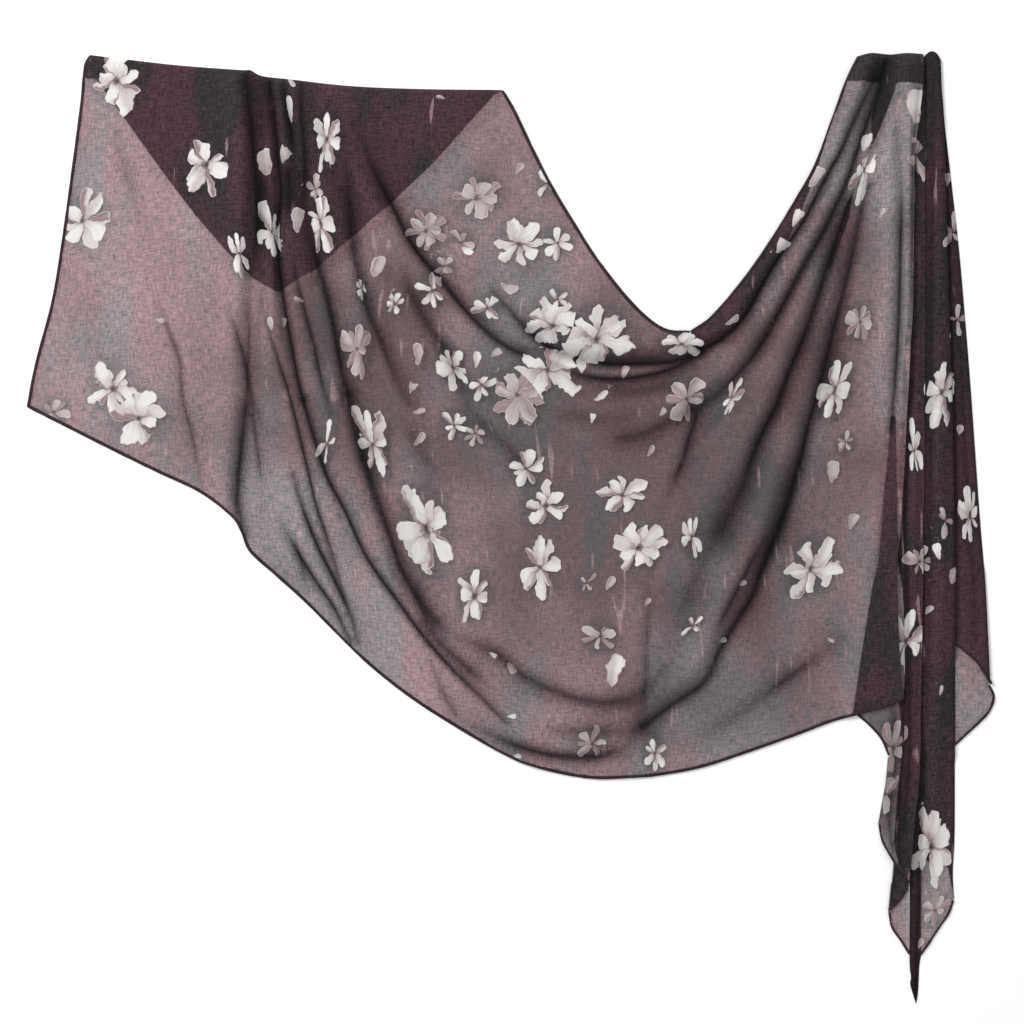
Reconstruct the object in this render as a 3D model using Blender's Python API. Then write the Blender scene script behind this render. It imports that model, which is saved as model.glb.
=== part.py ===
"""A sheer printed head scarf, gathered in two places and laid out flat on a table.

The scarf is one long rectangle of cloth with a narrow rolled hem. Each stretch of it that shows
is a solid of its own: three stretches of the front, the corner turned under it, and the tails.
"""

import math
from collections import namedtuple

import bmesh
import bpy
import numpy as np
from mathutils import Vector
from mathutils.geometry import delaunay_2d_cdt

for old in list(bpy.data.objects):
    bpy.data.objects.remove(old, do_unlink=True)

# Places are millimetres on the table, measured right and down from its corner, and sizes are
# millimetres too. in_metres() turns them into the part's own frame: +X right, +Y up the table,
# +Z up, the table's surface at zero.
TABLE_MIDDLE = (511.27, 528.5)
METRE = 0.001

FRONT_WALL = 1.6        # thickness of the front's wall
UNDER_WALL = 1.4        # thickness of the layers that lie under or beside it
LAYER_GAP = 0.3         # air between two layers, and between two pieces at a seam
SEAM_GAP = 0.3
HEM_WIDTH = 3.2
HEM_HEIGHT = 2.3

CREST = 15.0            # height of the fullest gathers over flat cloth
EDGE_SHARE = 0.25       # share of that height left at a hem
EDGE_REACH = 20.0       # distance from a hem at which the gathers have their full height
ROLL_DOWN = 3.2         # width over which a folded edge comes down to the table
PLEAT_ROLL_DOWN = 13.0  # and width over which its pleats do
RAMP = 12.0             # width over which a layer climbs onto the layer under it
STEEPEST = 1.7          # the most that a steep wall is thickened upright

OUTLINE_STEP = 19.0     # spacing of the points along an edge
FOLD_STEP = 22.0        # spacing of the points along a fold
FIELD_STEP = 24.0       # spacing of the points on plain cloth
NEAREST = 4.6           # no two points on the folds or on plain cloth are closer than this
NEAREST_STEP = 2.2      # nor any two where a layer steps over another
STEP_MARGIN = 1.5       # a layer is at its full height this far outside the layer under it
SHOULDER = 1.5          # a fold's shoulders, in half-widths of its trough

# The edges of all the stretches. A hem edge carries a rolled hem. At a fold the cloth turns under, a
# loose edge is a fold that lies on other layers, and at a seam two stretches meet.
Edge = namedtuple("Edge", "kind points")
EDGES = {
    "top_outer": Edge("fold", [
        (90, 55), (135, 60.5), (180, 65.5), (240, 70), (250, 70), (262, 76), (287, 79)]),
    "top_inner": Edge("fold", [(287, 79), (350, 86), (420, 89), (503, 90)]),
    "side": Edge("hem", [
        (27, 407), (35, 365), (52, 300), (62, 240), (70, 183), (80, 107), (84, 68), (90, 55)]),
    "lower_outer": Edge("hem", [
        (519, 762), (490, 747), (450, 723.5), (410, 697.5), (370, 666), (335, 632), (305, 602), (275, 575),
        (250, 552), (241, 532), (231, 516), (200, 492.5), (160, 473.5), (130, 459), (80, 434), (27, 407)]),
    "lower_middle": Edge("hem", [(628, 778), (600, 779), (575, 776.5), (545, 770), (519, 762)]),
    "lower_inner": Edge("hem", [
        (904, 699), (889, 706), (858, 714.5), (830, 722.5), (800, 734), (745, 753.5), (700, 768), (655, 776),
        (628, 778)]),
    "scoop_outer": Edge("hem", [
        (503, 90), (515, 110), (534, 150), (552, 185), (576, 225), (600, 262), (635, 305), (664, 328),
        (690, 331)]),
    "scoop_inner": Edge("hem", [
        (690, 331), (711, 316), (742, 280), (770, 240), (794.5, 200), (814, 165), (831, 120), (845.5, 80),
        (857, 56.5)]),
    "bunch_top": Edge("fold", [(857, 56.5), (871, 53), (890, 54.5), (907, 53), (923, 54)]),
    "right": Edge("loose", [
        (923, 54), (921, 95), (914, 150), (913, 185), (912, 300), (909, 350), (905, 443), (899.5, 532),
        (897, 560), (897, 601), (900, 671), (904, 699)]),
    "seam_outer": Edge("seam", [
        (287, 79), (294, 110), (296, 157), (310, 202), (318, 277), (330, 330), (345, 377), (359, 426),
        (371, 475), (386, 520), (398, 565), (430, 622), (457, 659), (485, 697), (508, 738), (519, 762)]),
    "seam_inner": Edge("seam", [
        (690, 331), (699, 367), (694, 414), (686, 445), (671, 490), (660, 540), (651, 581), (647, 622),
        (644, 683), (640, 728), (628, 778)]),
    "flap_top": Edge("fold", [(97, 62), (135, 67), (180, 72), (240, 77), (264, 83), (287, 86), (350, 91.5),
                              (420, 94.5), (494, 95.5)]),
    "flap_inner": Edge("hem", [
        (494, 95.5), (464, 129), (434, 163), (394, 202), (349, 241), (316, 270), (278, 293)]),
    "flap_outer": Edge("hem", [
        (278, 293), (254, 279), (228, 253), (196, 216), (165, 175), (140, 140), (120, 112), (97, 82)]),
    "flap_end": Edge("fold", [(97, 82), (97, 62)]),
    "turned_top": Edge("fold", [(866, 58.5), (907, 58)]),
    "turned_right": Edge("fold", [(907, 58), (905, 86)]),
    "turned_foot": Edge("fold", [(905, 86), (856, 83)]),
    "turned_left": Edge("fold", [(856, 83), (866, 58.5)]),
    "lobe_top": Edge("fold", [(946, 575), (976, 575)]),
    "lobe_side": Edge("fold", [(976, 575), (983, 640), (990, 684)]),
    "lobe_hem": Edge("hem", [(990, 684), (995, 697), (990.5, 711), (981, 722), (967, 735), (949, 752)]),
    "lobe_under": Edge("fold", [(949, 752), (945, 700), (946, 575)]),
    "outside": Edge("fold", [
        (938, 62), (942.5, 97), (945, 127), (951, 179), (959, 250), (965, 318), (970, 380), (975, 450),
        (980, 520), (985, 580), (988, 640), (990, 685)]),
    "outside_hem": Edge("hem", [(990, 685), (978, 665.5), (967, 654.5), (954, 644.5)]),
    "outside_tuck": Edge("fold", [(954, 644.5), (946, 638)]),
    "outside_under": Edge("fold", [(946, 638), (943, 450), (940, 250), (935, 62)]),
    "outside_top": Edge("fold", [(935, 62), (938, 62)]),
    "under_top": Edge("fold", [(901, 730), (917.5, 730)]),
    "under_right": Edge("fold", [(917.5, 730), (915, 785), (909.6, 853), (908.6, 955)]),
    "under_hem": Edge("hem", [(908.6, 955), (900, 941), (891, 927.5), (888, 912)]),
    "under_left": Edge("fold", [(888, 912), (890.6, 886), (893, 866), (901, 730)]),
    "corner_right": Edge("fold", [(917, 745), (914.5, 790), (909.4, 853), (908.6, 888)]),
    "corner_hem": Edge("hem", [(908.6, 888), (899, 902), (889, 911)]),
    "corner_left": Edge("fold", [(889, 911), (891, 886), (894, 866), (903, 745)]),
    "corner_top": Edge("fold", [(903, 745), (917, 745)]),
    "left_right": Edge("fold", [
        (893, 418), (895, 457), (895.6, 505), (898, 549), (907, 556), (920.4, 570), (919.4, 690),
        (916.2, 779), (913, 815), (909.8, 853), (908.4, 884)]),
    "left_lobe_hem": Edge("hem", [(908.4, 884), (898, 869.5), (888, 854.5), (881, 840), (878, 824)]),
    "left_side": Edge("fold", [(878, 824), (885, 785), (888, 756)]),
    "left_hem": Edge("hem", [(888, 756), (881, 740), (870, 727), (853, 712)]),
    "left_edge": Edge("fold", [(853, 712), (862, 650), (871, 595), (884, 482), (893, 418)]),
    "panel_top": Edge("fold", [(912, 70), (923.2, 70)]),
    "panel_right": Edge("fold", [
        (923.2, 70), (923.6, 300), (923, 450), (921.4, 560), (919.4, 690), (916.6, 779), (913, 815),
        (909.8, 853), (908.8, 870)]),
    "panel_foot": Edge("fold", [(908.8, 870), (900, 858)]),
    "panel_left": Edge("fold", [
        (900, 858), (898, 820), (901.5, 765), (904.4, 700), (903, 600), (897, 552), (897, 500), (901, 443),
        (905, 350), (908.6, 300), (910, 185), (912, 70)]),
    "main_top": Edge("fold", [(924.4, 56), (930, 51.6), (936, 53), (940.4, 61)]),
    "main_right": Edge("fold", [
        (940.4, 61), (941.5, 90), (943.5, 127), (946, 192), (949, 300), (952, 400), (954.5, 540),
        (954.7, 700), (954.6, 830), (952.8, 873), (954.4, 900)]),
    "main_hem": Edge("hem", [(954.4, 900), (949.5, 914), (939.5, 928.5), (929.6, 944), (921, 956)]),
    "main_tip": Edge("fold", [(921, 956), (919.3, 966), (918, 992), (916, 1004)]),
    "main_left": Edge("fold", [
        (916, 1004), (910.4, 985), (911, 977), (909.5, 959), (909.8, 890), (910.8, 853), (914, 815),
        (917.4, 779), (920.4, 690), (922.4, 560), (924, 450), (924.6, 300), (924.4, 56)]),
}

# Each stretch is bounded by edges, taken clockwise from above; a minus sign runs one backwards.
# lies_on names the stretches under it.
Stretch = namedtuple("Stretch", "name edges wall lies_on colour")
PLUM = (0.105, 0.062, 0.075)
CHARCOAL = (0.055, 0.052, 0.057)
MAUVE = (0.300, 0.215, 0.235)
STRETCHES = [
    Stretch("corner_flap", ["flap_top", "flap_inner", "flap_outer", "flap_end"], UNDER_WALL, [], PLUM),
    Stretch("turned_top", ["turned_top", "turned_right", "turned_foot", "turned_left"], UNDER_WALL, [],
            CHARCOAL),
    Stretch("tail_under", ["under_top", "under_right", "under_hem", "under_left"], UNDER_WALL, [], MAUVE),
    Stretch("tail_corner", ["corner_top", "corner_right", "corner_hem", "corner_left"], UNDER_WALL,
            ["tail_under"], PLUM),
    Stretch("tail_left", ["left_right", "left_lobe_hem", "left_side", "left_hem", "left_edge"], UNDER_WALL,
            ["tail_under", "tail_corner"], MAUVE),
    Stretch("tail_panel", ["panel_top", "panel_right", "panel_foot", "panel_left"], UNDER_WALL,
            ["tail_under", "tail_corner", "tail_left"], CHARCOAL),
    Stretch("tail_lobe", ["lobe_top", "lobe_side", "lobe_hem", "lobe_under"], UNDER_WALL, [], MAUVE),
    Stretch("tail_outside", ["outside", "outside_hem", "outside_tuck", "outside_under", "outside_top"],
            UNDER_WALL, ["tail_lobe"], PLUM),
    Stretch("tail_main", ["main_top", "main_right", "main_hem", "main_tip", "main_left"], UNDER_WALL,
            ["tail_lobe", "tail_outside"], PLUM),
    Stretch("front_outer", ["top_outer", "seam_outer", "lower_outer", "side"], FRONT_WALL,
            ["corner_flap"], MAUVE),
    Stretch("front_swag", ["top_inner", "scoop_outer", "seam_inner", "lower_middle", "-seam_outer"],
            FRONT_WALL, ["corner_flap"], MAUVE),
    Stretch("front_gather", ["scoop_inner", "bunch_top", "right", "lower_inner", "-seam_inner"], FRONT_WALL,
            ["turned_top", "tail_left", "tail_panel"], MAUVE),
]

# The folds of the front. The cloth stands up on both sides of a fold's line, for about its reach,
# and dips along the line itself, for about its trough. start and end are the shares of its
# strength at the two ends of its route.
Fold = namedtuple("Fold", "lift reach dip trough start end route")
FOLDS = [
    # the fan of folds under the outer gather
    Fold(0.9, 22, 0.90, 9.0, 0.9, 1.0, [
        (250, 71), (254, 120), (255, 163), (251, 294), (246, 340), (244, 421), (239, 480), (245, 538)]),
    Fold(0.9, 18, 0.95, 7.0, 1.0, 0.2, [
        (268, 80), (274, 108), (279, 183), (280, 261), (287, 326), (300, 382), (317, 447)]),
    Fold(0.9, 24, 0.85, 9.0, 1.0, 0.4, EDGES["seam_outer"].points),
    Fold(0.6, 20, 0.80, 8.0, 0.8, 0.2, [
        (262, 84), (266, 150), (266, 230), (262, 330), (262, 400), (270, 470)]),
    Fold(0.5, 17, 0.80, 6.0, 0.3, 0.3, [
        (300, 377), (333, 480), (351, 531), (392, 594), (452, 666), (498, 712)]),
    Fold(0.5, 14, 0.80, 6.0, 0.3, 0.4, [(292, 485), (308, 519), (329, 563), (347, 609), (358, 641)]),
    Fold(0.5, 14, 0.80, 6.0, 0.3, 0.5, [(280, 519), (296, 549), (310, 574), (329, 602), (345, 628)]),
    Fold(0.4, 14, 0.75, 6.0, 0.3, 0.2, [(315, 503), (329, 537), (338, 567), (349, 595)]),
    Fold(0.7, 22, 0.75, 9.0, 0.7, 0.2, [
        (310, 88), (326, 130), (343, 183), (359, 229), (369, 277), (375, 345), (392, 392), (437, 457)]),
    Fold(0.7, 22, 0.75, 9.0, 0.7, 0.3, [
        (322, 90), (347, 125), (379, 184), (407, 232), (443, 285), (498, 333), (540, 356)]),
    Fold(0.5, 22, 0.70, 9.0, 0.2, 0.2, [
        (396, 290), (408, 313), (434, 353), (470, 392), (512, 418), (570, 430)]),
    Fold(0.3, 20, 0.70, 8.0, 0.2, 0.4, [(160, 290), (178, 343), (180, 400), (190, 433), (201, 484)]),
    Fold(0.2, 20, 0.60, 8.0, 0.3, 0.2, [(118, 130), (140, 200), (156, 262), (165, 300)]),
    # the swag between the two gathers
    Fold(0.9, 22, 0.90, 10.0, 0.2, 1.0, [
        (480, 280), (522, 323), (561, 348), (607, 368), (664, 362), (721, 342), (760, 298), (798, 235),
        (829, 186), (854, 129), (875, 83), (881, 60)]),
    Fold(0.5, 15, 0.80, 8.0, 0.2, 0.3, [(572, 373), (620, 384), (675, 377), (712, 362)]),
    Fold(0.4, 20, 0.70, 8.0, 0.2, 0.2, [(602, 401), (647, 395), (690, 380)]),
    Fold(0.9, 21, 0.90, 8.0, 0.2, 1.0, [
        (614, 436), (660, 428), (701, 408), (744, 368), (768, 336), (801, 284), (827, 221), (844, 188),
        (863, 135), (873, 96), (885, 64)]),
    Fold(0.9, 21, 0.90, 9.0, 0.2, 0.9, [
        (710, 547), (729, 497), (746, 471), (772, 414), (796, 352), (817, 292), (836, 242), (852, 196),
        (875, 150), (889, 100), (894, 62)]),
    Fold(1.0, 24, 0.90, 11.0, 0.5, 0.5, [
        (643, 728), (671, 705), (706, 671), (733, 622), (761, 568), (783, 508), (805, 440), (827, 362),
        (846, 280), (856, 240), (863, 192)]),
    Fold(0.8, 18, 0.85, 8.0, 0.9, 0.8, [
        (899, 100), (902, 170), (902, 250), (900, 300), (896, 380)]),
    Fold(0.3, 15, 0.70, 8.0, 0.2, 0.2, [(694, 449), (716, 427), (735, 404)]),
    Fold(0.4, 18, 0.80, 8.0, 0.6, 0.4, EDGES["seam_inner"].points),
    Fold(0.4, 17, 0.70, 8.0, 0.2, 0.2, [(729, 662), (706, 682), (684, 698)]),
    Fold(0.3, 17, 0.70, 8.0, 0.2, 0.2, [(814, 650), (792, 673), (772, 690)]),
    Fold(0.4, 21, 0.70, 9.0, 0.2, 0.2, [(470, 640), (487, 654), (521, 673), (562, 688)]),
    Fold(0.3, 15, 0.70, 8.0, 0.2, 0.2, [(475, 728), (505, 739), (533, 751), (560, 757)]),
]

# The soft rolls of the narrow tails, higher than the cloth about them.
Roll = namedtuple("Roll", "height half_width route")
ROLLS = {
    "tail_main": [Roll(4.5, 14.0, [(933, 58), (937, 300), (938, 540), (937, 700), (934, 800), (931, 880)])],
    "tail_outside": [Roll(3.0, 8.0, [(963, 370), (968, 480), (971, 560), (975, 630)])],
    "tail_panel": [Roll(2.0, 6.5, [(918, 70), (918, 300), (914, 500), (912, 700), (906, 815)])],
    "tail_left": [Roll(1.2, 9.0, [(893, 760), (890, 800), (890, 835)])],
}


def on_plan(points):
    """Table places as millimetres from the middle of the cloth, X right and Y up."""
    return np.array([(x - TABLE_MIDDLE[0], TABLE_MIDDLE[1] - y) for x, y in points], float)


def curve_through(points, step):
    """A smooth line through the points, with its own points about one step apart."""
    if len(points) < 3:
        dense = np.linspace(points[0], points[-1], 9)
    else:
        ends = np.vstack([2 * points[0] - points[1], points, 2 * points[-1] - points[-2]])
        pieces = []
        for before, start, end, after in zip(ends, ends[1:], ends[2:], ends[3:]):
            for t in np.linspace(0, 1, 12, endpoint=False):
                pieces.append(0.5 * (2 * start + (end - before) * t
                                     + (2 * before - 5 * start + 4 * end - after) * t ** 2
                                     + (3 * start - before - 3 * end + after) * t ** 3))
        dense = np.vstack([pieces, points[-1:]])
    along = np.concatenate([[0], np.cumsum(np.linalg.norm(np.diff(dense, axis=0), axis=1))])
    count = max(1, round(along[-1] / step))
    places = np.linspace(0, along[-1], count + 1)
    return np.column_stack([np.interp(places, along, dense[:, axis]) for axis in (0, 1)])


EDGE_LINES = {name: curve_through(on_plan(edge.points), OUTLINE_STEP) for name, edge in EDGES.items()}


def outline(edge_names):
    """The corners of a closed outline, and the kind of edge that leaves each one."""
    corners, kinds = [], []
    for name in edge_names:
        line = EDGE_LINES[name.lstrip("-")]
        if name.startswith("-"):
            line = line[::-1]
        corners.extend(line[:-1])
        kinds.extend([EDGES[name.lstrip("-")].kind] * (len(line) - 1))
    return np.array(corners), kinds


SHARP_TURN = 0.75       # the sine of a corner's turn, under which the larger amount holds at it


def moved_in(corners, insets):
    """A clockwise outline with each of its edges moved in by its own amount."""
    result = []
    count = len(corners)
    for i in range(count):
        before = corners[i] - corners[i - 1]
        after = corners[(i + 1) % count] - corners[i]
        before /= np.linalg.norm(before)
        after /= np.linalg.norm(after)
        in_before = np.array([before[1], -before[0]])
        in_after = np.array([after[1], -after[0]])
        turn = before[0] * after[1] - before[1] * after[0]
        if abs(turn) < SHARP_TURN:
            shift = (in_before + in_after) / (1 + in_before @ in_after) * max(insets[i - 1], insets[i])
        else:
            shift = np.linalg.solve([in_before, in_after], [insets[i - 1], insets[i]])
        result.append(corners[i] + shift)
    return np.array(result)


def distance_to(points, line, closed=False):
    """Each point's distance to a line, and the share of the line's length to its nearest place."""
    ends = np.vstack([line[1:], line[:1]]) if closed else line[1:]
    starts = line if closed else line[:-1]
    lengths = np.linalg.norm(ends - starts, axis=1)
    total = lengths.sum()
    best = np.full(len(points), np.inf)
    share = np.zeros(len(points))
    passed = 0.0
    for start, end, length in zip(starts, ends, lengths):
        t = np.clip(((points - start) @ (end - start)) / length ** 2, 0, 1)
        gap = np.linalg.norm(points - start - t[:, None] * (end - start), axis=1)
        nearer = gap < best
        best = np.where(nearer, gap, best)
        share = np.where(nearer, (passed + t * length) / total, share)
        passed += length
    return best, share


def inside(points, corners):
    """Which points lie inside a closed outline."""
    x, y = points[:, 0], points[:, 1]
    odd = np.zeros(len(points), bool)
    for a, b in zip(corners, np.roll(corners, -1, axis=0)):
        if a[1] == b[1]:
            continue
        crosses = (y < a[1]) != (y < b[1])
        odd ^= crosses & (x < a[0] + (y - a[1]) * (b[0] - a[0]) / (b[1] - a[1]))
    return odd


def smooth(t):
    """Zero to one with a level start and end."""
    t = np.clip(t, 0, 1)
    return t * t * (3 - 2 * t)


OUTLINES = {s.name: outline(s.edges)[0] for s in STRETCHES}
FOLD_LINES = [curve_through(on_plan(fold.route), FOLD_STEP) for fold in FOLDS]
FRONT_FOLDED = ("top_outer", "top_inner", "bunch_top")
FRONT_HEMMED = ("side", "lower_outer", "lower_middle", "lower_inner", "scoop_outer", "scoop_inner")
UNDER_HEM_HEIGHT = UNDER_WALL + 0.3
LAYER_STEP = UNDER_HEM_HEIGHT + LAYER_GAP


def rest_height(points, stretch):
    """How high a stretch's underside lies, on the table or on the layers under it."""
    height = np.zeros(len(points))
    for name in stretch.lies_on:
        gap = distance_to(points, OUTLINES[name], closed=True)[0]
        gap[inside(points, OUTLINES[name])] = 0
        height += LAYER_STEP * smooth(1 - (gap - 2 * STEP_MARGIN) / RAMP)
    return height


def nearest_edge(points, names):
    """Each point's distance to the nearest of the named edges."""
    return np.min([distance_to(points, EDGE_LINES[name])[0] for name in names], axis=0)


def gathers(points):
    """How far the front's folds raise it."""
    raised = np.zeros(len(points))
    dipped = np.ones(len(points))
    for fold, line in zip(FOLDS, FOLD_LINES):
        gap, share = distance_to(points, line)
        fade = np.minimum(fold.start + (1 - fold.start) * smooth(share / 0.3),
                          fold.end + (1 - fold.end) * smooth((1 - share) / 0.3))
        raised += fold.lift * fade * np.exp(-(gap / fold.reach) ** 2)
        dipped *= 1 - fold.dip * fade * np.exp(-(gap / fold.trough) ** 2)
    hem_share = EDGE_SHARE + (1 - EDGE_SHARE) * smooth(nearest_edge(points, FRONT_HEMMED) / EDGE_REACH)
    return CREST * (1 - np.exp(-raised)) * dipped * hem_share


def rolls(points, stretch):
    """How far the soft rolls of a tail raise it."""
    raised = np.zeros(len(points))
    for roll in ROLLS.get(stretch.name, []):
        gap, share = distance_to(points, curve_through(on_plan(roll.route), FOLD_STEP))
        fade = smooth(share / 0.15) * smooth((1 - share) / 0.15)
        raised += roll.height * fade * smooth(1 - gap / roll.half_width)
    return raised


def surfaces(points, stretch):
    """The heights of a stretch's upper and under surfaces."""
    rest = rest_height(points, stretch)
    if stretch.name.startswith("front"):
        from_fold = nearest_edge(points, FRONT_FOLDED)
        rest = rest * smooth(from_fold / ROLL_DOWN)
        raised = gathers(points) * smooth(from_fold / PLEAT_ROLL_DOWN)
    else:
        raised = rolls(points, stretch)
    return rest + stretch.wall + raised, rest, raised


def steepness(points, stretch):
    """How much longer the wall is upright than square to its surface."""
    nudge = 0.5
    slope = np.zeros(len(points))
    for shift in (np.array([nudge, 0]), np.array([0, nudge])):
        rise = surfaces(points + shift, stretch)[0] - surfaces(points - shift, stretch)[0]
        slope += (rise / (2 * nudge)) ** 2
    return np.minimum(np.sqrt(1 + slope), STEEPEST)


def line_beside(line, offset):
    """A line moved to its left by an offset."""
    way = np.gradient(line, axis=0)
    way /= np.linalg.norm(way, axis=1)[:, None]
    return line + offset * np.column_stack([-way[:, 1], way[:, 0]])


def shoulder_line(line, offset):
    """The line along a fold's shoulder, no further than half-way to the next fold."""
    wide = line_beside(line, offset)
    others = [distance_to(wide, other)[0] for other in FOLD_LINES if other is not line]
    room = (np.min(others, axis=0) + abs(offset)) / 2
    share = np.minimum(1, room / abs(offset))
    return line + (wide - line) * share[:, None]


def guide_lines(stretch, rim, kinds):
    """The lines that a stretch's faces follow, each with the least room between its points: where it
    steps over the layers under it and rolls down at its folded edges, its folds, and its rolls."""
    if stretch.name.startswith("front"):
        rolled = moved_in(rim, [ROLL_DOWN if kind == "fold" else 0 for kind in kinds])
        yield np.vstack([rolled, rolled[:1]]), NEAREST_STEP
    for name in stretch.lies_on:
        around = moved_in(OUTLINES[name], [-STEP_MARGIN] * len(OUTLINES[name]))
        yield np.vstack([around, around[:1]]), NEAREST_STEP
    if stretch.name.startswith("front"):
        for line in FOLD_LINES:
            yield line, NEAREST
        for fold, line in zip(FOLDS, FOLD_LINES):
            for side in (-1, 1):
                yield shoulder_line(line, side * SHOULDER * fold.trough), NEAREST
    for roll in ROLLS.get(stretch.name, []):
        line = curve_through(on_plan(roll.route), FOLD_STEP)
        yield line, NEAREST_STEP
        for side in (-1, 1):
            yield line_beside(line, side * roll.half_width), NEAREST_STEP


def field(corners):
    """A plain field of points over an outline's box, in staggered rows."""
    low, high = corners.min(axis=0), corners.max(axis=0)
    rows = np.arange(low[1] + FIELD_STEP / 2, high[1], FIELD_STEP * math.sqrt(3) / 2)
    points = []
    for row, y in enumerate(rows):
        start = low[0] + FIELD_STEP * (0.5 if row % 2 else 1.0)
        points.extend((x, y) for x in np.arange(start, high[0], FIELD_STEP))
    return np.array(points).reshape(-1, 2)


def in_metres(points, heights):
    """Plan places and heights in the part's own frame."""
    return [(x * METRE, y * METRE, z * METRE) for (x, y), z in zip(points, heights)]


def add_solid(name, vertices, faces, colour):
    """An object of one closed mesh with its own material."""
    mesh = bpy.data.meshes.new(name)
    mesh.from_pydata(vertices, [], faces)
    shape = bmesh.new()
    shape.from_mesh(mesh)
    bmesh.ops.triangulate(shape, faces=shape.faces[:])
    bmesh.ops.recalc_face_normals(shape, faces=shape.faces[:])
    shape.to_mesh(mesh)
    shape.free()
    mesh.shade_smooth()
    solid = bpy.data.objects.new(name, mesh)
    bpy.context.collection.objects.link(solid)
    cloth = bpy.data.materials.new(name)
    cloth.use_nodes = True
    shader = cloth.node_tree.nodes["Principled BSDF"]
    shader.inputs["Base Color"].default_value = (*colour, 1.0)
    shader.inputs["Roughness"].default_value = 0.85
    shader.inputs["Metallic"].default_value = 0.0
    mesh.materials.append(cloth)
    return solid


def add_stretch(stretch):
    """One stretch of cloth: a wall whose faces follow its folds, closed along its edges."""
    corners, kinds = outline(stretch.edges)
    room = {"hem": HEM_WIDTH + LAYER_GAP, "fold": 0.0, "loose": 0.0, "seam": SEAM_GAP / 2}
    rim = moved_in(corners, [room[kind] for kind in kinds])
    points = list(rim)
    creases = []
    guides = [(line, least, True) for line, least in guide_lines(stretch, rim, kinds)]
    for line, least, is_crease in guides + [(field(rim), NEAREST, False)]:
        keep = inside(line, rim) & (distance_to(line, rim, closed=True)[0] > least)
        last = None
        for point, good in zip(line, keep):
            if not good or np.linalg.norm(np.array(points) - point, axis=1).min() < least:
                last = None
                continue
            points.append(point)
            if is_crease and last is not None:
                creases.append((last, len(points) - 1))
            last = len(points) - 1
    rim_count = len(rim)
    flat, _, triangles, *_ = delaunay_2d_cdt(
        [Vector(p) for p in points], creases, [list(range(rim_count))], 1, 0.01)
    flat = np.array([tuple(p) for p in flat])
    top, rest, _ = surfaces(flat, stretch)
    under = np.maximum(rest, top - stretch.wall * steepness(flat, stretch))
    count = len(flat)
    edge_uses = {}
    for face in triangles:
        for a, b in zip(face, list(face[1:]) + [face[0]]):
            edge_uses[(a, b)] = True
    faces = [tuple(face) for face in triangles]
    faces += [tuple(i + count for i in reversed(face)) for face in triangles]
    faces += [(b, a, a + count, b + count) for a, b in edge_uses if (b, a) not in edge_uses]
    vertices = in_metres(flat, top) + in_metres(flat, under)
    return add_solid(stretch.name, vertices, faces, stretch.colour)


# A rolled hem's cross-section, in shares of its width, from the cloth's edge in, and its height.
HEM_SECTION = [(0.2, 0.0), (0.8, 0.0), (1.0, 0.45), (0.75, 1.0), (0.25, 1.0), (0.0, 0.45)]
HEM_ENDS = 5.0          # a hem stops this far short of the ends of its edge
JOINED_ENDS = 0.6       # or this far, where the next stretch's hem runs on
JOINED = {"lower_outer": "start", "lower_middle": "both", "lower_inner": "end", "scoop_outer": "end",
          "scoop_inner": "start"}


def add_hem(stretch, edge_name):
    """The rolled hem along one edge of a stretch."""
    line = EDGE_LINES[edge_name]
    joined = JOINED.get(edge_name, "none")
    start = JOINED_ENDS if joined in ("start", "both") else HEM_ENDS
    end = JOINED_ENDS if joined in ("end", "both") else HEM_ENDS
    first, last = line[1] - line[0], line[-2] - line[-1]
    line = line.copy()
    line[0] += first / np.linalg.norm(first) * start
    line[-1] += last / np.linalg.norm(last) * end
    way = np.diff(line, axis=0)
    way /= np.linalg.norm(way, axis=1)[:, None]
    across = np.column_stack([way[:, 1], -way[:, 0]])
    inward = np.vstack([across[:1], (across[1:] + across[:-1]) / 2, across[-1:]])
    inward /= (inward ** 2).sum(axis=1)[:, None]
    middle = line + inward * HEM_WIDTH / 2
    _, rest, raised = surfaces(middle, stretch)
    height = HEM_HEIGHT if stretch.name.startswith("front") else UNDER_HEM_HEIGHT
    vertices, faces = [], []
    sides = len(HEM_SECTION)
    for place, into, low, lifted in zip(line, inward, rest, raised):
        for across, up in HEM_SECTION:
            x, y = place + into * across * HEM_WIDTH
            vertices.append((x * METRE, y * METRE, (low + lifted + up * height) * METRE))
    for ring in range(len(line) - 1):
        for i in range(sides):
            j = (i + 1) % sides
            a, b = ring * sides + i, ring * sides + j
            faces.append((a, b, b + sides, a + sides))
    faces.append(tuple(range(sides)))
    faces.append(tuple(len(vertices) - 1 - i for i in range(sides)))
    return add_solid("hem_" + edge_name.replace("_hem", ""), vertices, faces, CHARCOAL)


for piece in STRETCHES:
    add_stretch(piece)
    for edge in piece.edges:
        if EDGES[edge.lstrip("-")].kind == "hem":
            add_hem(piece, edge)
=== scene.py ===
"""A sheer printed head scarf, gathered in two places and laid out flat on a pale floor."""

import math
from collections import namedtuple

import bpy
import numpy as np
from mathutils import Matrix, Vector, noise
from mathutils.geometry import delaunay_2d_cdt


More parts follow.
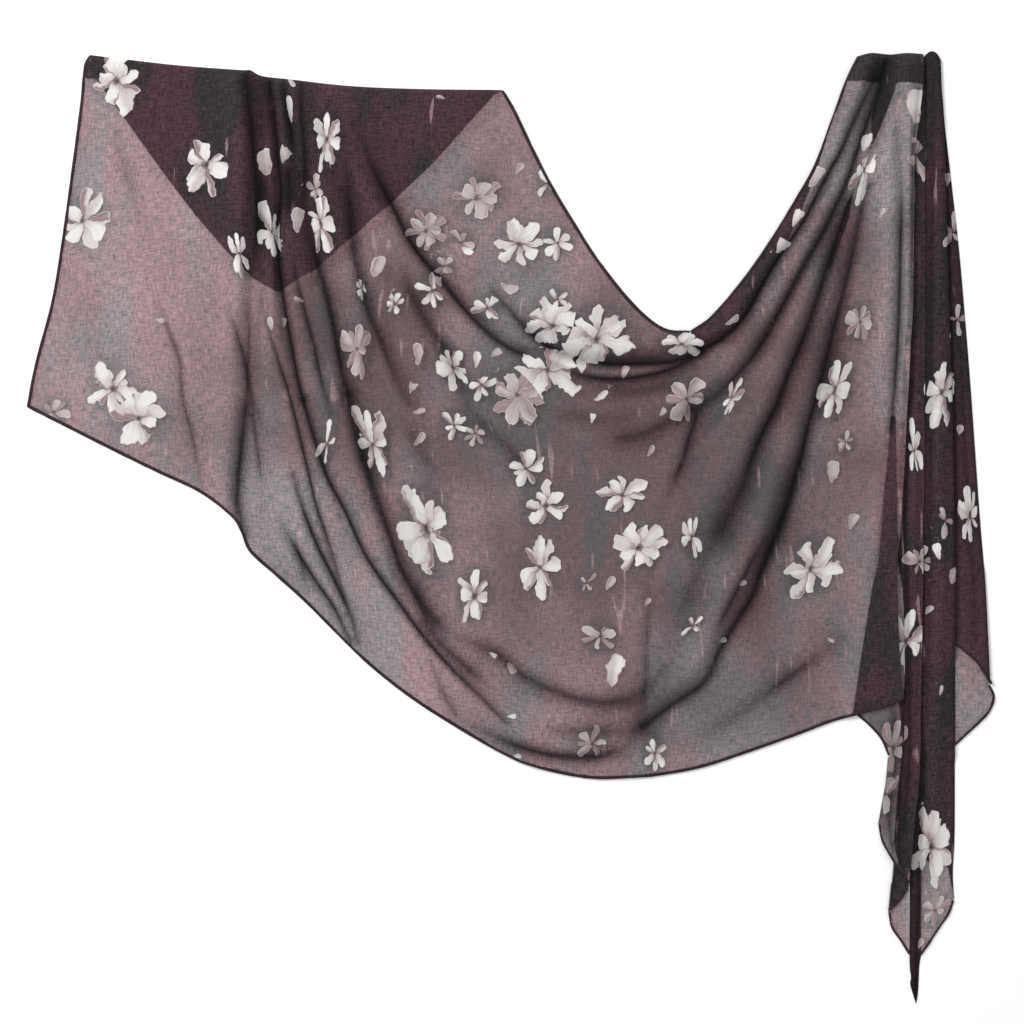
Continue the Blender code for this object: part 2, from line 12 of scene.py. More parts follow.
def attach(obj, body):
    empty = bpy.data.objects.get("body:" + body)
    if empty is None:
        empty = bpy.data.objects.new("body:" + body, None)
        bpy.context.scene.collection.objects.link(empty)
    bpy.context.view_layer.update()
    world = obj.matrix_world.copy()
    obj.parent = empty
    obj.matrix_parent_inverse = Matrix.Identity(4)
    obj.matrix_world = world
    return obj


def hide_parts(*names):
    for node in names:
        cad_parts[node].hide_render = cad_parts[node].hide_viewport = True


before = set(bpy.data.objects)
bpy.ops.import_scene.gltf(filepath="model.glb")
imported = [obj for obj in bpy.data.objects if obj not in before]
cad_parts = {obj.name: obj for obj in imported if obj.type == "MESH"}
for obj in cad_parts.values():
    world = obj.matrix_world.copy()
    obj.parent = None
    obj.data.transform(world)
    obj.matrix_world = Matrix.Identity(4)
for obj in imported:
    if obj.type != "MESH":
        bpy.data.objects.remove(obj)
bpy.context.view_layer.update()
bpy.ops.object.select_all(action="DESELECT")
scene = bpy.context.scene

# --- The table, the light and the camera -----------------------------------------------------
# A plain pale surface under the scarf, broad soft light from above, and a camera that looks
# straight down on the middle of the cloth.
PALE = (0.93, 0.93, 0.93, 1.0)
WHITE = (1.0, 1.0, 1.0, 1.0)
FLOOR_SIZE = 9.0
FLOOR_GAP = 0.0002      # how far the floor lies under the cloth
SKY_STRENGTH = 0.62
KEY_POWER = 118.0
FILL_POWER = 16.0
LENS = 85.0             # millimetres, before a sensor of the width below
SENSOR = 36.0
CAMERA_PLACE = (0.00073, 0.0165, 2.418)

bpy.ops.mesh.primitive_plane_add(size=FLOOR_SIZE, location=(0, 0, -FLOOR_GAP))
floor = bpy.context.object
floor.name = "floor"
floor_paint = bpy.data.materials.new("pale_floor")
floor_paint.use_nodes = True
floor_shader = floor_paint.node_tree.nodes["Principled BSDF"]
floor_shader.inputs["Base Color"].default_value = PALE
floor_shader.inputs["Roughness"].default_value = 0.9
floor_shader.inputs["Specular IOR Level"].default_value = 0.2
floor.data.materials.append(floor_paint)

world = bpy.data.worlds.new("studio")
world.use_nodes = True
world.node_tree.nodes["Background"].inputs["Color"].default_value = WHITE
world.node_tree.nodes["Background"].inputs["Strength"].default_value = SKY_STRENGTH
scene.world = world
scene.view_settings.view_transform = "Standard"


def soft_light(name, power, size, place, target=(0.0, 0.0, 0.0)):
    """A square of soft light that faces a target."""
    light = bpy.data.lights.new(name, "AREA")
    light.energy = power
    light.size = size
    lamp = bpy.data.objects.new(name, light)
    scene.collection.objects.link(lamp)
    lamp.location = place
    lamp.rotation_euler = (Vector(target) - Vector(place)).to_track_quat("-Z", "Y").to_euler()


soft_light("key_light", KEY_POWER, 1.3, (-2.2, 1.9, 2.2))
soft_light("fill_light", FILL_POWER, 2.0, (2.4, -1.4, 2.2))

lens = bpy.data.cameras.new("camera")
lens.lens = LENS
lens.sensor_width = SENSOR
camera = bpy.data.objects.new("camera", lens)
scene.collection.objects.link(camera)
camera.location = CAMERA_PLACE
scene.camera = camera

# --- The corner that is turned under the outer gather ----------------------------------------
# A triangle of the same cloth, folded back under the top edge and pressed flat. It lies straight
# on the table, and shows through the sheer front as a darker triangle.
# Places are millimetres on the table, measured right and down from its corner.
TABLE_MIDDLE = (511.27, 528.5)
METRE = 0.001
UNDER_WALL = 1.4        # height of one thickness of the layers under the front
LAYER_STEP = 2.0        # height of one layer of cloth and the air over it
STEP_MARGIN = 1.5       # a layer stays up to twice this far past the edge of the one under it
RAMP = 12.0             # width over which a layer climbs onto the layer under it
ROLL = 2.6              # width over which a folded edge rounds down
HEM_WIDTH = 3.2
COARSE_STEP = 12.0      # between the points of a line that only distances are measured to


def on_plan(points):
    """Table places as millimetres from the middle of the cloth, X right and Y up."""
    return np.array([(x - TABLE_MIDDLE[0], TABLE_MIDDLE[1] - y) for x, y in points], float)


def curve_through(points, step):
    """A smooth line through the points, with its own points about one step apart."""
    if len(points) < 3:
        dense = np.linspace(points[0], points[-1], 9)
    else:
        ends = np.vstack([2 * points[0] - points[1], points, 2 * points[-1] - points[-2]])
        parts = []
        for before, start, end, after in zip(ends, ends[1:], ends[2:], ends[3:]):
            for t in np.linspace(0, 1, 12, endpoint=False):
                parts.append(0.5 * (2 * start + (end - before) * t
                                    + (2 * before - 5 * start + 4 * end - after) * t ** 2
                                    + (3 * start - before - 3 * end + after) * t ** 3))
        dense = np.vstack([parts, points[-1:]])
    along = np.concatenate([[0], np.cumsum(np.linalg.norm(np.diff(dense, axis=0), axis=1))])
    places = np.linspace(0, along[-1], max(1, round(along[-1] / step)) + 1)
    return np.column_stack([np.interp(places, along, dense[:, axis]) for axis in (0, 1)])


def beside(points, line, closed=False):
    """Each point's distance to a line, the share of the line's length there, and its side."""
    ends = np.vstack([line[1:], line[:1]]) if closed else line[1:]
    starts = line if closed else line[:-1]
    lengths = np.linalg.norm(ends - starts, axis=1)
    best = np.full(len(points), np.inf)
    share = np.zeros(len(points))
    side = np.ones(len(points))
    passed = 0.0
    for start, end, length in zip(starts, ends, lengths):
        away = points - start
        t = np.clip(away @ (end - start) / length ** 2, 0, 1)
        gap = np.hypot(away[:, 0] - t * (end - start)[0], away[:, 1] - t * (end - start)[1])
        nearer = gap < best
        best = np.where(nearer, gap, best)
        share = np.where(nearer, (passed + t * length) / lengths.sum(), share)
        left = (end - start)[0] * away[:, 1] - (end - start)[1] * away[:, 0] > 0
        side = np.where(nearer, np.where(left, 1.0, -1.0), side)
        passed += length
    return best, share, side


def inside(points, corners):
    """Which points lie inside a closed outline."""
    x, y = points[:, 0], points[:, 1]
    odd = np.zeros(len(points), bool)
    for a, b in zip(corners, np.roll(corners, -1, axis=0)):
        if a[1] != b[1]:
            odd ^= ((y < a[1]) != (y < b[1])) & (x < a[0] + (y - a[1]) * (b[0] - a[0]) / (b[1] - a[1]))
    return odd


def smooth(t):
    """Zero to one with a level start and end."""
    t = np.clip(t, 0, 1)
    return t * t * (3 - 2 * t)


Edge = namedtuple("Edge", "kind points")
LINES = {}              # every edge's smooth line
KINDS = {}              # hem, fold, loose or seam
OUTLINES = {}           # every stretch's coarse outline, for what lies over it


def rim_of(name, edges, step=2.3):
    """A stretch's closed rim, clockwise, with each hemmed edge brought in to its hem's middle."""
    corners, insets, coarse = [], [], []
    for key, edge in edges.items():
        LINES[key] = curve_through(on_plan(edge.points), step)
        KINDS[key] = edge.kind
        corners.extend(LINES[key][:-1])
        insets.extend([HEM_WIDTH / 2 if edge.kind == "hem" else 0.0] * (len(LINES[key]) - 1))
        coarse.extend(curve_through(on_plan(edge.points), 19.0)[:-1])
    OUTLINES[name] = np.array(coarse)
    corners, insets = np.array(corners), np.array(insets)
    way = np.roll(corners, -1, axis=0) - np.roll(corners, 1, axis=0)
    way /= np.linalg.norm(way, axis=1)[:, None]
    return corners + np.column_stack([way[:, 1], -way[:, 0]]) * insets[:, None]


def rest_height(points, lies_on):
    """How high a stretch's underside lies, on the table or on the layers under it."""
    height = np.zeros(len(points))
    for name in lies_on:
        gap = beside(points, OUTLINES[name], closed=True)[0]
        gap[inside(points, OUTLINES[name])] = 0
        height += LAYER_STEP * smooth(1 - (gap - 2 * STEP_MARGIN) / RAMP)
    return height


def rounded(points, keys, width=ROLL):
    """Zero at the named folded edges, rising like a rolled edge to one within a width."""
    gap = np.min([beside(points, LINES[key])[0] for key in keys], axis=0)
    return np.sqrt(1 - (1 - np.clip(gap / width, 0.02, 1)) ** 2)


def soft_noise(points, across, along, layer):
    """Smooth noise at each point, by its sizes across and along the scarf."""
    return np.array([noise.noise(Vector((x / across, y / along, layer))) for x, y in points])


def crumple(points, size, height):
    """Small soft unevenness of the cloth."""
    return soft_noise(points, size, size, 3.7) * height


def spread_points(rim, spacing):
    """Staggered rows of points that fill a closed rim."""
    low, high = rim.min(axis=0), rim.max(axis=0)
    rows = np.arange(low[1], high[1], spacing * math.sqrt(3) / 2)
    field = []
    for row, y in enumerate(rows):
        xs = np.arange(low[0] + spacing * (row % 2) / 2, high[0], spacing)
        field.append(np.column_stack([xs, np.full(len(xs), y)]))
    field = np.vstack(field)
    field = field[inside(field, rim)]
    return field[beside(field, rim, closed=True)[0] > spacing * 0.55]


def line_points(rim, lines, spacing):
    """Three rows of points along each line, no two of them in one small cell."""
    rows = []
    for line in lines:
        way = np.gradient(line, axis=0)
        way /= np.linalg.norm(way, axis=1)[:, None]
        for offset in (0.0, -spacing, spacing):
            rows.append(line + offset * np.column_stack([-way[:, 1], way[:, 0]]))
    rows = np.vstack(rows)
    rows = rows[inside(rows, rim)]
    rows = rows[beside(rows, rim, closed=True)[0] > spacing]
    _, first = np.unique(np.round(rows / (spacing * 0.8)).astype(int), axis=0, return_index=True)
    return rows[np.sort(first)]


def cloth_mesh(name, rim, spacing, height, lines=()):
    """An open mesh of cloth inside a rim, at the height that a function gives, in millimetres."""
    field = spread_points(rim, spacing)
    if len(lines):
        fine = line_points(rim, lines, spacing * 0.5)
        cells = {tuple(cell) for cell in np.round(fine / spacing).astype(int)}
        clear = [tuple(cell) not in cells for cell in np.round(field / spacing).astype(int)]
        field = np.vstack([fine, field[np.array(clear)]])
    points = np.vstack([rim, field])
    flat, _, faces, *_ = delaunay_2d_cdt(
        [Vector(p) for p in points], [], [list(range(len(rim)))], 1, 0.001)
    flat = np.array([tuple(p) for p in flat])
    corners = np.column_stack([flat, height(flat)]) * METRE
    mesh = bpy.data.meshes.new(name)
    mesh.from_pydata(corners.tolist(), [], [tuple(face) for face in faces])
    mesh.shade_smooth()
    cloth = bpy.data.objects.new(name, mesh)
    scene.collection.objects.link(cloth)
    return cloth, flat


def add_value(cloth, name, values):
    """A number at each of the cloth's points."""
    cloth.data.attributes.new(name, "FLOAT", "POINT").data.foreach_set("value", values.astype(np.float32))


def add_vector(cloth, name, values):
    """A vector at each of the cloth's points."""
    cloth.data.attributes.new(name, "FLOAT_VECTOR", "POINT").data.foreach_set(
        "vector", values.astype(np.float32).ravel())


# The blossoms printed on the cloth: open flowers of a few long petals, each with its place, reach,
# number of petals, turn in degrees, stretch along that turn, and white (1) or mauve (0).
Blossom = namedtuple("Blossom", "x y reach petals turn stretch white")
BLOSSOMS = [Blossom(*row) for row in [
    (118, 82, 30, 5, 20, 1.0, 1), (205, 166, 27, 4, 75, 1.2, 1), (84, 220, 26, 4, 60, 1.2, 1),
    (113, 388, 25, 5, 130, 1.0, 1), (139, 417, 27, 4, -35, 1.1, 1), (272, 232, 14, 4, 98, 2.3, 1),
    (241, 255, 11, 3, 100, 2.7, 1), (328, 141, 16, 4, 88, 2.3, 1), (322, 225, 15, 4, 102, 2.5, 1),
    (316, 190, 10, 3, 90, 1.4, 0), (55, 412, 16, 3, -30, 1.0, 0), (374, 445, 18, 4, 105, 2.4, 1),
    (328, 445, 9, 2, 75, 3.6, 1), (357, 350, 15, 4, 90, 1.9, 0), (362, 288, 6, 3, 100, 2.3, 1),
    (395, 304, 10, 3, 70, 1.4, 1), (432, 292, 16, 3, -80, 1.2, 1), (427, 231, 20, 5, 10, 1.0, 0),
    (478, 198, 25, 5, 70, 1.0, 0), (462, 242, 14, 2, -30, 1.0, 0), (444, 266, 12, 3, 30, 1.0, 0),
    (520, 245, 27, 4, 40, 1.0, 1), (558, 243, 17, 3, 90, 1.0, 1), (548, 183, 13, 2, 110, 1.2, 1),
    (487, 308, 15, 3, 30, 1.0, 1), (558, 299, 12, 2, 50, 1.0, 1), (551, 325, 28, 4, 15, 1.1, 1),
    (596, 338, 36, 5, 50, 1.1, 1), (548, 371, 32, 4, -40, 1.1, 1), (453, 366, 16, 4, 115, 1.7, 1),
    (482, 385, 16, 3, 60, 1.0, 1), (518, 396, 28, 5, 30, 1.0, 0), (455, 425, 16, 3, 80, 1.0, 1),
    (475, 434, 13, 3, 10, 1.0, 0), (682, 344, 14, 4, 0, 1.6, 1), (686, 398, 21, 4, 60, 1.1, 0),
    (731, 397, 9, 3, 65, 2.8, 1), (527, 468, 18, 4, 70, 1.0, 1), (547, 506, 24, 4, 40, 1.1, 1),
    (539, 567, 21, 4, 95, 1.5, 1), (426, 530, 25, 5, 100, 1.9, 1), (474, 595, 19, 4, 85, 1.7, 1),
    (622, 494, 22, 4, 40, 1.2, 1), (640, 548, 24, 5, 50, 1.2, 1), (691, 536, 11, 3, 95, 2.2, 1),
    (587, 583, 12, 2, -40, 1.0, 0), (600, 637, 18, 3, 10, 1.0, 0), (654, 754, 13, 3, 92, 1.6, 1),
    (592, 743, 17, 3, 0, 1.2, 0), (812, 568, 27, 5, 60, 1.25, 1), (833, 390, 18, 4, 75, 1.9, 1),
    (859, 322, 13, 4, 80, 1.7, 0), (845, 443, 10, 3, 70, 1.25, 0), (864, 170, 11, 4, 75, 3.0, 1),
    (693, 625, 8, 2, 50, 1.9, 1), (292, 126, 9, 1, 95, 3.1, 1)
]]
# The single petals that drift between them, by their middles.
Petal = namedtuple("Petal", "x y length turn white")
PETALS = [Petal(*row) for row in [
    (290, 82, 14, -60, 0), (265, 163, 28, 100, 0), (286, 156, 22, 75, 0), (298, 221, 28, 92, 0),
    (377, 268, 24, 70, 0), (467, 250, 15, -30, 1), (519, 169, 14, 60, 0), (508, 288, 20, -30, 0),
    (419, 354, 22, 80, 0), (414, 387, 18, 60, 0), (478, 360, 18, 80, 1), (496, 353, 13, 40, 0),
    (437, 280, 16, 120, 0), (419, 412, 14, 20, 0), (420, 440, 16, 50, 0), (601, 397, 17, 20, 1),
    (593, 418, 13, 70, 1), (624, 372, 13, 80, 0), (732, 322, 16, 20, 0), (833, 473, 23, 80, 0),
    (852, 521, 16, 80, 0), (613, 671, 34, 80, 1), (609, 583, 15, 60, 0), (651, 452, 12, 50, 0),
    (512, 716, 10, 0, 1), (493, 655, 10, -30, 1), (511, 668, 14, -60, 0), (647, 602, 9, 60, 0),
    (722, 640, 8, 30, 0), (160, 320, 9, -10, 0), (300, 300, 10, 160, 0), (441, 97, 9, 150, 0),
    (783, 245, 26, 58, 1), (796, 218, 21, 62, 1), (814, 176, 24, 65, 0), (773, 251, 9, 20, 0),
    (864, 144, 18, 80, 1), (662, 412, 10, 60, 0), (913, 108, 34, 100, 1), (915, 138, 14, 60, 0),
    (911, 160, 16, 120, 0), (517, 756, 9, 10, 1), (880, 214, 10, 70, 0), (271, 325, 14, 100, 0),
    (285, 323, 10, 80, 0), (570, 168, 8, 30, 0), (742, 583, 8, 40, 0), (830, 640, 9, -50, 0)
]]
SETS = 2                # two blossoms that overlap go into different sets
SPREAD = 1.14           # the blossoms' longest petals, in their reach
WASHED = 1.25           # how far the dye is washed dark round them, in their reach
ROOM = 2.0              # millimetres between two blossoms that share a set
TOUCHING = 0.12         # and the band between them, in their reach, that belongs to neither
FAR = 98.0              # in reaches: further away than this a point belongs to no blossom
OUTSIDE = 9.0           # the place of such a point
PETAL_KINDS = 150       # how blossoms differ in their petals goes in whole steps of one over this
WHITE_FROM = 82         # the first such step of the white ones
MAUVE_FROM = 8          # and of the mauve ones
KIND_CHOICE = 60        # and how many each has to choose from
GOLDEN = 0.618


def print_blossoms(cloth, flat, blossoms, petals, seed=0.0):
    """Gives each point its place within the blossom that it lies in, in sets that never overlap."""
    rows = [(b.x, b.y, b.reach * SPREAD, b.reach * SPREAD * b.stretch, b.turn, b.petals, b.white)
            for b in blossoms]
    for p in petals:
        bearing = math.radians(p.turn)
        rows.append((p.x - math.cos(bearing) * p.length / 2, p.y + math.sin(bearing) * p.length / 2,
                     p.length, p.length, p.turn, 1, p.white))
    taken = [[] for _ in range(SETS)]
    places = np.zeros((SETS, len(flat), 4))
    places[:, :, 0] = OUTSIDE
    nearest = np.full((SETS, len(flat)), FAR)
    second = np.full((SETS, len(flat)), FAR + 1)
    for number, (x, y, across, along, turn, count, white) in enumerate(rows):
        middle = on_plan([(x, y)])[0]
        radius = max(across, along) * WASHED
        room = [min([np.hypot(*(middle - other)) - radius - wide for other, wide in kept] or [np.inf])
                for kept in taken]
        chosen = next((i for i in range(SETS) if room[i] > ROOM), int(np.argmax(room)))
        taken[chosen].append((middle, radius))
        angle = math.radians(turn)
        away = flat - middle
        u = (away[:, 0] * math.cos(angle) + away[:, 1] * math.sin(angle)) / along
        v = (-away[:, 0] * math.sin(angle) + away[:, 1] * math.cos(angle)) / across
        spread = np.hypot(u, v)
        near = spread < nearest[chosen]
        second[chosen] = np.where(near, nearest[chosen], np.minimum(second[chosen], spread))
        nearest[chosen][near] = spread[near]
        step = (WHITE_FROM if white else MAUVE_FROM) + round(KIND_CHOICE * ((number * GOLDEN + seed) % 1.0))
        for column, value in enumerate((u, v, count + step / PETAL_KINDS, (spread < WASHED) * 1.0)):
            places[chosen][near, column] = value[near] if np.ndim(value) else value
    for i in range(SETS):
        places[i][second[i] - nearest[i] < TOUCHING, 3] = 0.0
        layer = cloth.data.attributes.new(f"blossom_{i + 1}", "FLOAT_COLOR", "POINT")
        layer.data.foreach_set("color", places[i].astype(np.float32).ravel())


def wired(tree, kind, inputs=None, **settings):
    """A node with its settings made, and its inputs wired or set."""
    made = tree.nodes.new(kind)
    for key, value in settings.items():
        setattr(made, key, value)
    for key, value in (inputs or {}).items():
        if isinstance(value, bpy.types.NodeSocket):
            tree.links.new(value, made.inputs[key])
        else:
            made.inputs[key].default_value = value
    return made


def calc(tree, operation, *values):
    """The result of a sum on one to three numbers."""
    return wired(tree, "ShaderNodeMath", dict(enumerate(values)), operation=operation).outputs[0]


def plus(tree, first, second):
    """The sum of two numbers."""
    return calc(tree, "ADD", first, second)


def minus(tree, first, second):
    """The first number less the second."""
    return calc(tree, "SUBTRACT", first, second)


def times(tree, first, second):
    """The product of two numbers."""
    return calc(tree, "MULTIPLY", first, second)


def over(tree, first, second):
    """The first number divided by the second."""
    return calc(tree, "DIVIDE", first, second)


def scaled(tree, value, factor, shift):
    """A number times a factor, and moved by a shift."""
    return calc(tree, "MULTIPLY_ADD", value, factor, shift)


def wave(tree, value, rate):
    """A sine wave along a value."""
    return calc(tree, "SINE", times(tree, value, rate))


def ramp(tree, value, low, high, to_low=0.0, to_high=1.0):
    """A number brought smoothly from one range to another."""
    return wired(tree, "ShaderNodeMapRange", {
        "Value": value, "From Min": low, "From Max": high, "To Min": to_low, "To Max": to_high},
        interpolation_type="SMOOTHSTEP").outputs["Result"]


def blend(tree, share, first, second, mode="MIX"):
    """One colour over another by a share."""
    return wired(tree, "ShaderNodeMix", {0: share, 6: first, 7: second},
                 data_type="RGBA", blend_type=mode).outputs[2]


def cloudy(tree, place, scale, detail=0.0):
    """Soft noise from zero to one."""
    return wired(tree, "ShaderNodeTexNoise", {"Vector": place, "Scale": scale, "Detail": detail}).outputs[0]


def vector_of(tree, x, y, z=0.0):
    """Three numbers as a vector."""
    return wired(tree, "ShaderNodeCombineXYZ", {0: x, 1: y, 2: z}).outputs[0]


def parts_of(tree, vector):
    """A vector's three numbers."""
    return wired(tree, "ShaderNodeSeparateXYZ", {0: vector}).outputs


def length_of(tree, x, y):
    """How far a place lies from the middle."""
    return calc(tree, "SQRT", plus(tree, times(tree, x, x), times(tree, y, y)))


def new_group(name, takes, gives):
    """An empty effect with named inputs and outputs."""
    group = bpy.data.node_groups.new(name, "ShaderNodeTree")
    for label, kind in takes.items():
        group.interface.new_socket(name=label, in_out="INPUT", socket_type=kind)
    for label, kind in gives.items():
        group.interface.new_socket(name=label, in_out="OUTPUT", socket_type=kind)
    return group, group.nodes.new("NodeGroupInput").outputs, group.nodes.new("NodeGroupOutput").inputs


NUMBER, VECTOR, COLOUR = "NodeSocketFloat", "NodeSocketVector", "NodeSocketColor"

# The weave: uneven slubby threads both ways, which wander a little, and the fine thread itself for
# near views. Rates are in radians a metre, and sizes in metres.
SLUB_ACROSS = 620.0     # scale of the noise across a slub
SLUB_ALONG = 120.0      # and along it
THREAD_RATE = 7200.0
EAST_WANDER = (210.0, 0.0011)    # rate and size
NORTH_WANDER = (170.0, 0.0013)

weave, takes, gives = new_group("slub_weave", {"Place": VECTOR}, {"Tint": NUMBER, "Height": NUMBER})
axes = parts_of(weave, takes["Place"])
east = scaled(weave, wave(weave, axes[1], EAST_WANDER[0]), EAST_WANDER[1], axes[0])
north = scaled(weave, wave(weave, axes[0], NORTH_WANDER[0]), NORTH_WANDER[1], axes[1])
warp = cloudy(weave, vector_of(weave, times(weave, east, SLUB_ACROSS), times(weave, north, SLUB_ALONG)), 1.0)
weft = cloudy(weave, vector_of(
    weave, times(weave, east, SLUB_ALONG), times(weave, north, SLUB_ACROSS), 5.0), 1.0)
weave.links.new(minus(weave, plus(weave, warp, weft), 1.0), gives["Tint"])
weave.links.new(times(weave, wave(weave, axes[0], THREAD_RATE), wave(weave, axes[1], THREAD_RATE)),
                gives["Height"])

# The dye's strokes: a few thin pale upright streaks.
STROKE_ACROSS = 150.0   # scale of the noise across a streak
STROKE_ALONG = 20.0     # and along it
STROKE_AREAS = 13.0     # and of the areas that have any

wash, takes, gives = new_group("dye_strokes", {"Place": VECTOR}, {"Stroke": NUMBER})
axes = parts_of(wash, takes["Place"])
strokes = cloudy(wash, vector_of(
    wash, times(wash, axes[0], STROKE_ACROSS), times(wash, axes[1], STROKE_ALONG), 9.0), 1.0)
rare = cloudy(wash, takes["Place"], STROKE_AREAS)
wash.links.new(times(wash, ramp(wash, strokes, 0.70, 0.76), ramp(wash, rare, 0.52, 0.62)), gives["Stroke"])

# One ring of petals about a blossom's middle, seen in the blossom's own place. Each petal has its
# own length, width and turn by chance. Lengths are in the blossom's reach, and places on a petal in
# its own length.
PETAL_TURN = 0.34       # how far a petal may turn, in its share of the circle
SHORTEST = 0.60         # of the petals, where the longest has 1.02
NARROWEST = 0.72        # of the petals, where the widest has 1.22
LONE_LENGTH = 0.98      # of a petal that drifts alone
PETAL_BEND = 0.35       # how far its tip may bend aside
PETAL_MIDDLE = 0.52     # the middle between its foot and its tip
PETAL_HALF = 0.49       # and half of the way between them
PETAL_TIP = 2.6         # how blunt its two ends are
FOOT_WIDTH = 0.35       # its width at its foot, where that at its tip is 1.35
VEINS = 34.0

ring, takes, gives = new_group(
    "petal_ring", {"Local": VECTOR, "Turn": NUMBER, "Length": NUMBER, "Width": NUMBER, "Seed": NUMBER},
    {"Mask": NUMBER, "Base": NUMBER, "Vein": NUMBER, "Rim": NUMBER, "Shade": NUMBER})
axes = parts_of(ring, takes["Local"])
east, north = axes[0], axes[1]
count = calc(ring, "FLOOR", axes[2])
own = calc(ring, "ROUND", times(ring, calc(ring, "FRACT", axes[2]), PETAL_KINDS))
lone = calc(ring, "LESS_THAN", count, 1.5)
sector = over(ring, 2 * math.pi, count)
bearing = plus(ring, calc(ring, "ARCTAN2", north, east), times(ring, takes["Turn"], sector))
number = calc(ring, "FLOOR", plus(ring, over(ring, bearing, sector), 0.5))
chance = parts_of(ring, wired(ring, "ShaderNodeTexWhiteNoise", {
    "Vector": vector_of(ring, calc(ring, "FLOORED_MODULO", number, count), own, takes["Seed"])},
    noise_dimensions="3D").outputs[1])
turned = times(ring, times(ring, minus(ring, chance[0], 0.5), PETAL_TURN),
               times(ring, sector, minus(ring, 1.0, lone)))
off = plus(ring, minus(ring, bearing, times(ring, number, sector)), turned)
reach = length_of(ring, east, north)
long = times(ring, takes["Length"], scaled(ring, chance[1], 1.02 - SHORTEST, SHORTEST))
long = calc(ring, "MAXIMUM", long, times(ring, lone, LONE_LENGTH))
ahead = over(ring, times(ring, reach, calc(ring, "COSINE", off)), long)
across = over(ring, times(ring, reach, calc(ring, "SINE", off)), long)
bend = times(ring, times(ring, ahead, ahead), PETAL_BEND)
across = plus(ring, across, times(ring, minus(ring, chance[2], 0.5), bend))
wide = times(ring, takes["Width"], scaled(ring, chance[2], 1.22 - NARROWEST, NARROWEST))
wide = times(ring, wide, plus(ring, calc(ring, "MAXIMUM", ahead, 0.0), FOOT_WIDTH))
inward = calc(ring, "ABSOLUTE", over(ring, minus(ring, ahead, PETAL_MIDDLE), PETAL_HALF))
sideways = calc(ring, "ABSOLUTE", over(ring, across, wide))
rounding = plus(ring, calc(ring, "POWER", inward, PETAL_TIP), times(ring, sideways, sideways))
from_edge = minus(ring, 1.0, calc(ring, "SQRT", rounding))
veins = calc(ring, "SINE", scaled(
    ring, over(ring, across, plus(ring, ahead, 0.35)), VEINS, times(ring, chance[0], 12.0)))
shaded = plus(ring, chance[0], times(ring, across, 2.4))
ring.links.new(ramp(ring, from_edge, 0.0, 0.07), gives["Mask"])
ring.links.new(ramp(ring, ahead, 0.60, 0.08), gives["Base"])
ring.links.new(ramp(ring, veins, 0.1, 1.0), gives["Vein"])
ring.links.new(ramp(ring, from_edge, 0.16, 0.05), gives["Rim"])
ring.links.new(ramp(ring, shaded, 0.62, 1.05), gives["Shade"])

# A whole blossom: darker petals behind, pale ones in front, and a small dusky heart.
PETAL_WHITE = (0.690, 0.665, 0.655, 1.0)
PETAL_SHADE = (0.330, 0.262, 0.268, 1.0)
PETAL_MAUVE = (0.235, 0.150, 0.165, 1.0)
HEART = (0.045, 0.025, 0.028, 1.0)
HEART_SHARE = 0.75
PETAL_LENGTH = 0.98
BACK_WIDTH = 0.20
FRONT_WIDTH = 0.27
BACK_SEED = 0.37        # keeps the petals behind from having the same chances as those in front

bloom, takes, gives = new_group(
    "blossom", {"Local": VECTOR, "Reach": NUMBER, "Under": COLOUR}, {"Colour": COLOUR, "Cover": NUMBER})
axes = parts_of(bloom, takes["Local"])
white = ramp(bloom, calc(bloom, "FRACT", axes[2]), 0.49, 0.51)
many = calc(bloom, "GREATER_THAN", axes[2], 2.0)
printed = ramp(bloom, takes["Reach"], 0.45, 0.9)


def petal_ring(turn, width, seed):
    """One ring of the blossom's petals, and where their outer ends are pale."""
    out = wired(bloom, "ShaderNodeGroup", {
        "Local": takes["Local"], "Turn": turn, "Length": PETAL_LENGTH, "Width": width, "Seed": seed},
        node_tree=ring).outputs
    return out, times(bloom, minus(bloom, 1.0, out["Base"]), minus(bloom, 1.0, out["Shade"]))


back, outer = petal_ring(0.5, BACK_WIDTH, BACK_SEED)
tone = blend(bloom, times(bloom, back["Vein"], 0.6), PETAL_MAUVE, PETAL_SHADE)
tone = blend(bloom, times(bloom, outer, scaled(bloom, white, 0.60, 0.12)), tone, PETAL_WHITE)
tone = blend(bloom, times(bloom, back["Rim"], scaled(bloom, white, 0.4, 0.3)), tone, PETAL_WHITE)
cover = times(bloom, times(bloom, back["Mask"], printed), many)
colour = blend(bloom, cover, takes["Under"], tone)

fore, outer = petal_ring(0.0, FRONT_WIDTH, 0.0)
pale = blend(bloom, times(bloom, fore["Shade"], 0.45), PETAL_WHITE, PETAL_SHADE)
pale = blend(bloom, times(bloom, fore["Base"], 0.40), pale, PETAL_MAUVE)
pale = blend(bloom, times(bloom, fore["Vein"], scaled(bloom, fore["Base"], 0.3, 0.10)), pale, PETAL_SHADE)
pale = blend(bloom, times(bloom, fore["Rim"], 0.25), pale, PETAL_MAUVE)
dusky = blend(bloom, times(bloom, fore["Vein"], 0.5), PETAL_SHADE, PETAL_MAUVE)
dusky = blend(bloom, times(bloom, outer, 0.35), dusky, PETAL_WHITE)
dusky = blend(bloom, times(bloom, fore["Rim"], 0.75), dusky, PETAL_WHITE)
mask = times(bloom, fore["Mask"], printed)
colour = blend(bloom, mask, colour, blend(bloom, white, dusky, pale))

heart = times(bloom, ramp(bloom, length_of(bloom, axes[0], axes[1]), 0.16, 0.05), times(bloom, printed, many))
colour = blend(bloom, times(bloom, heart, HEART_SHARE), colour, HEART)
bloom.links.new(colour, gives["Colour"])
bloom.links.new(calc(bloom, "MAXIMUM", cover, mask), gives["Cover"])

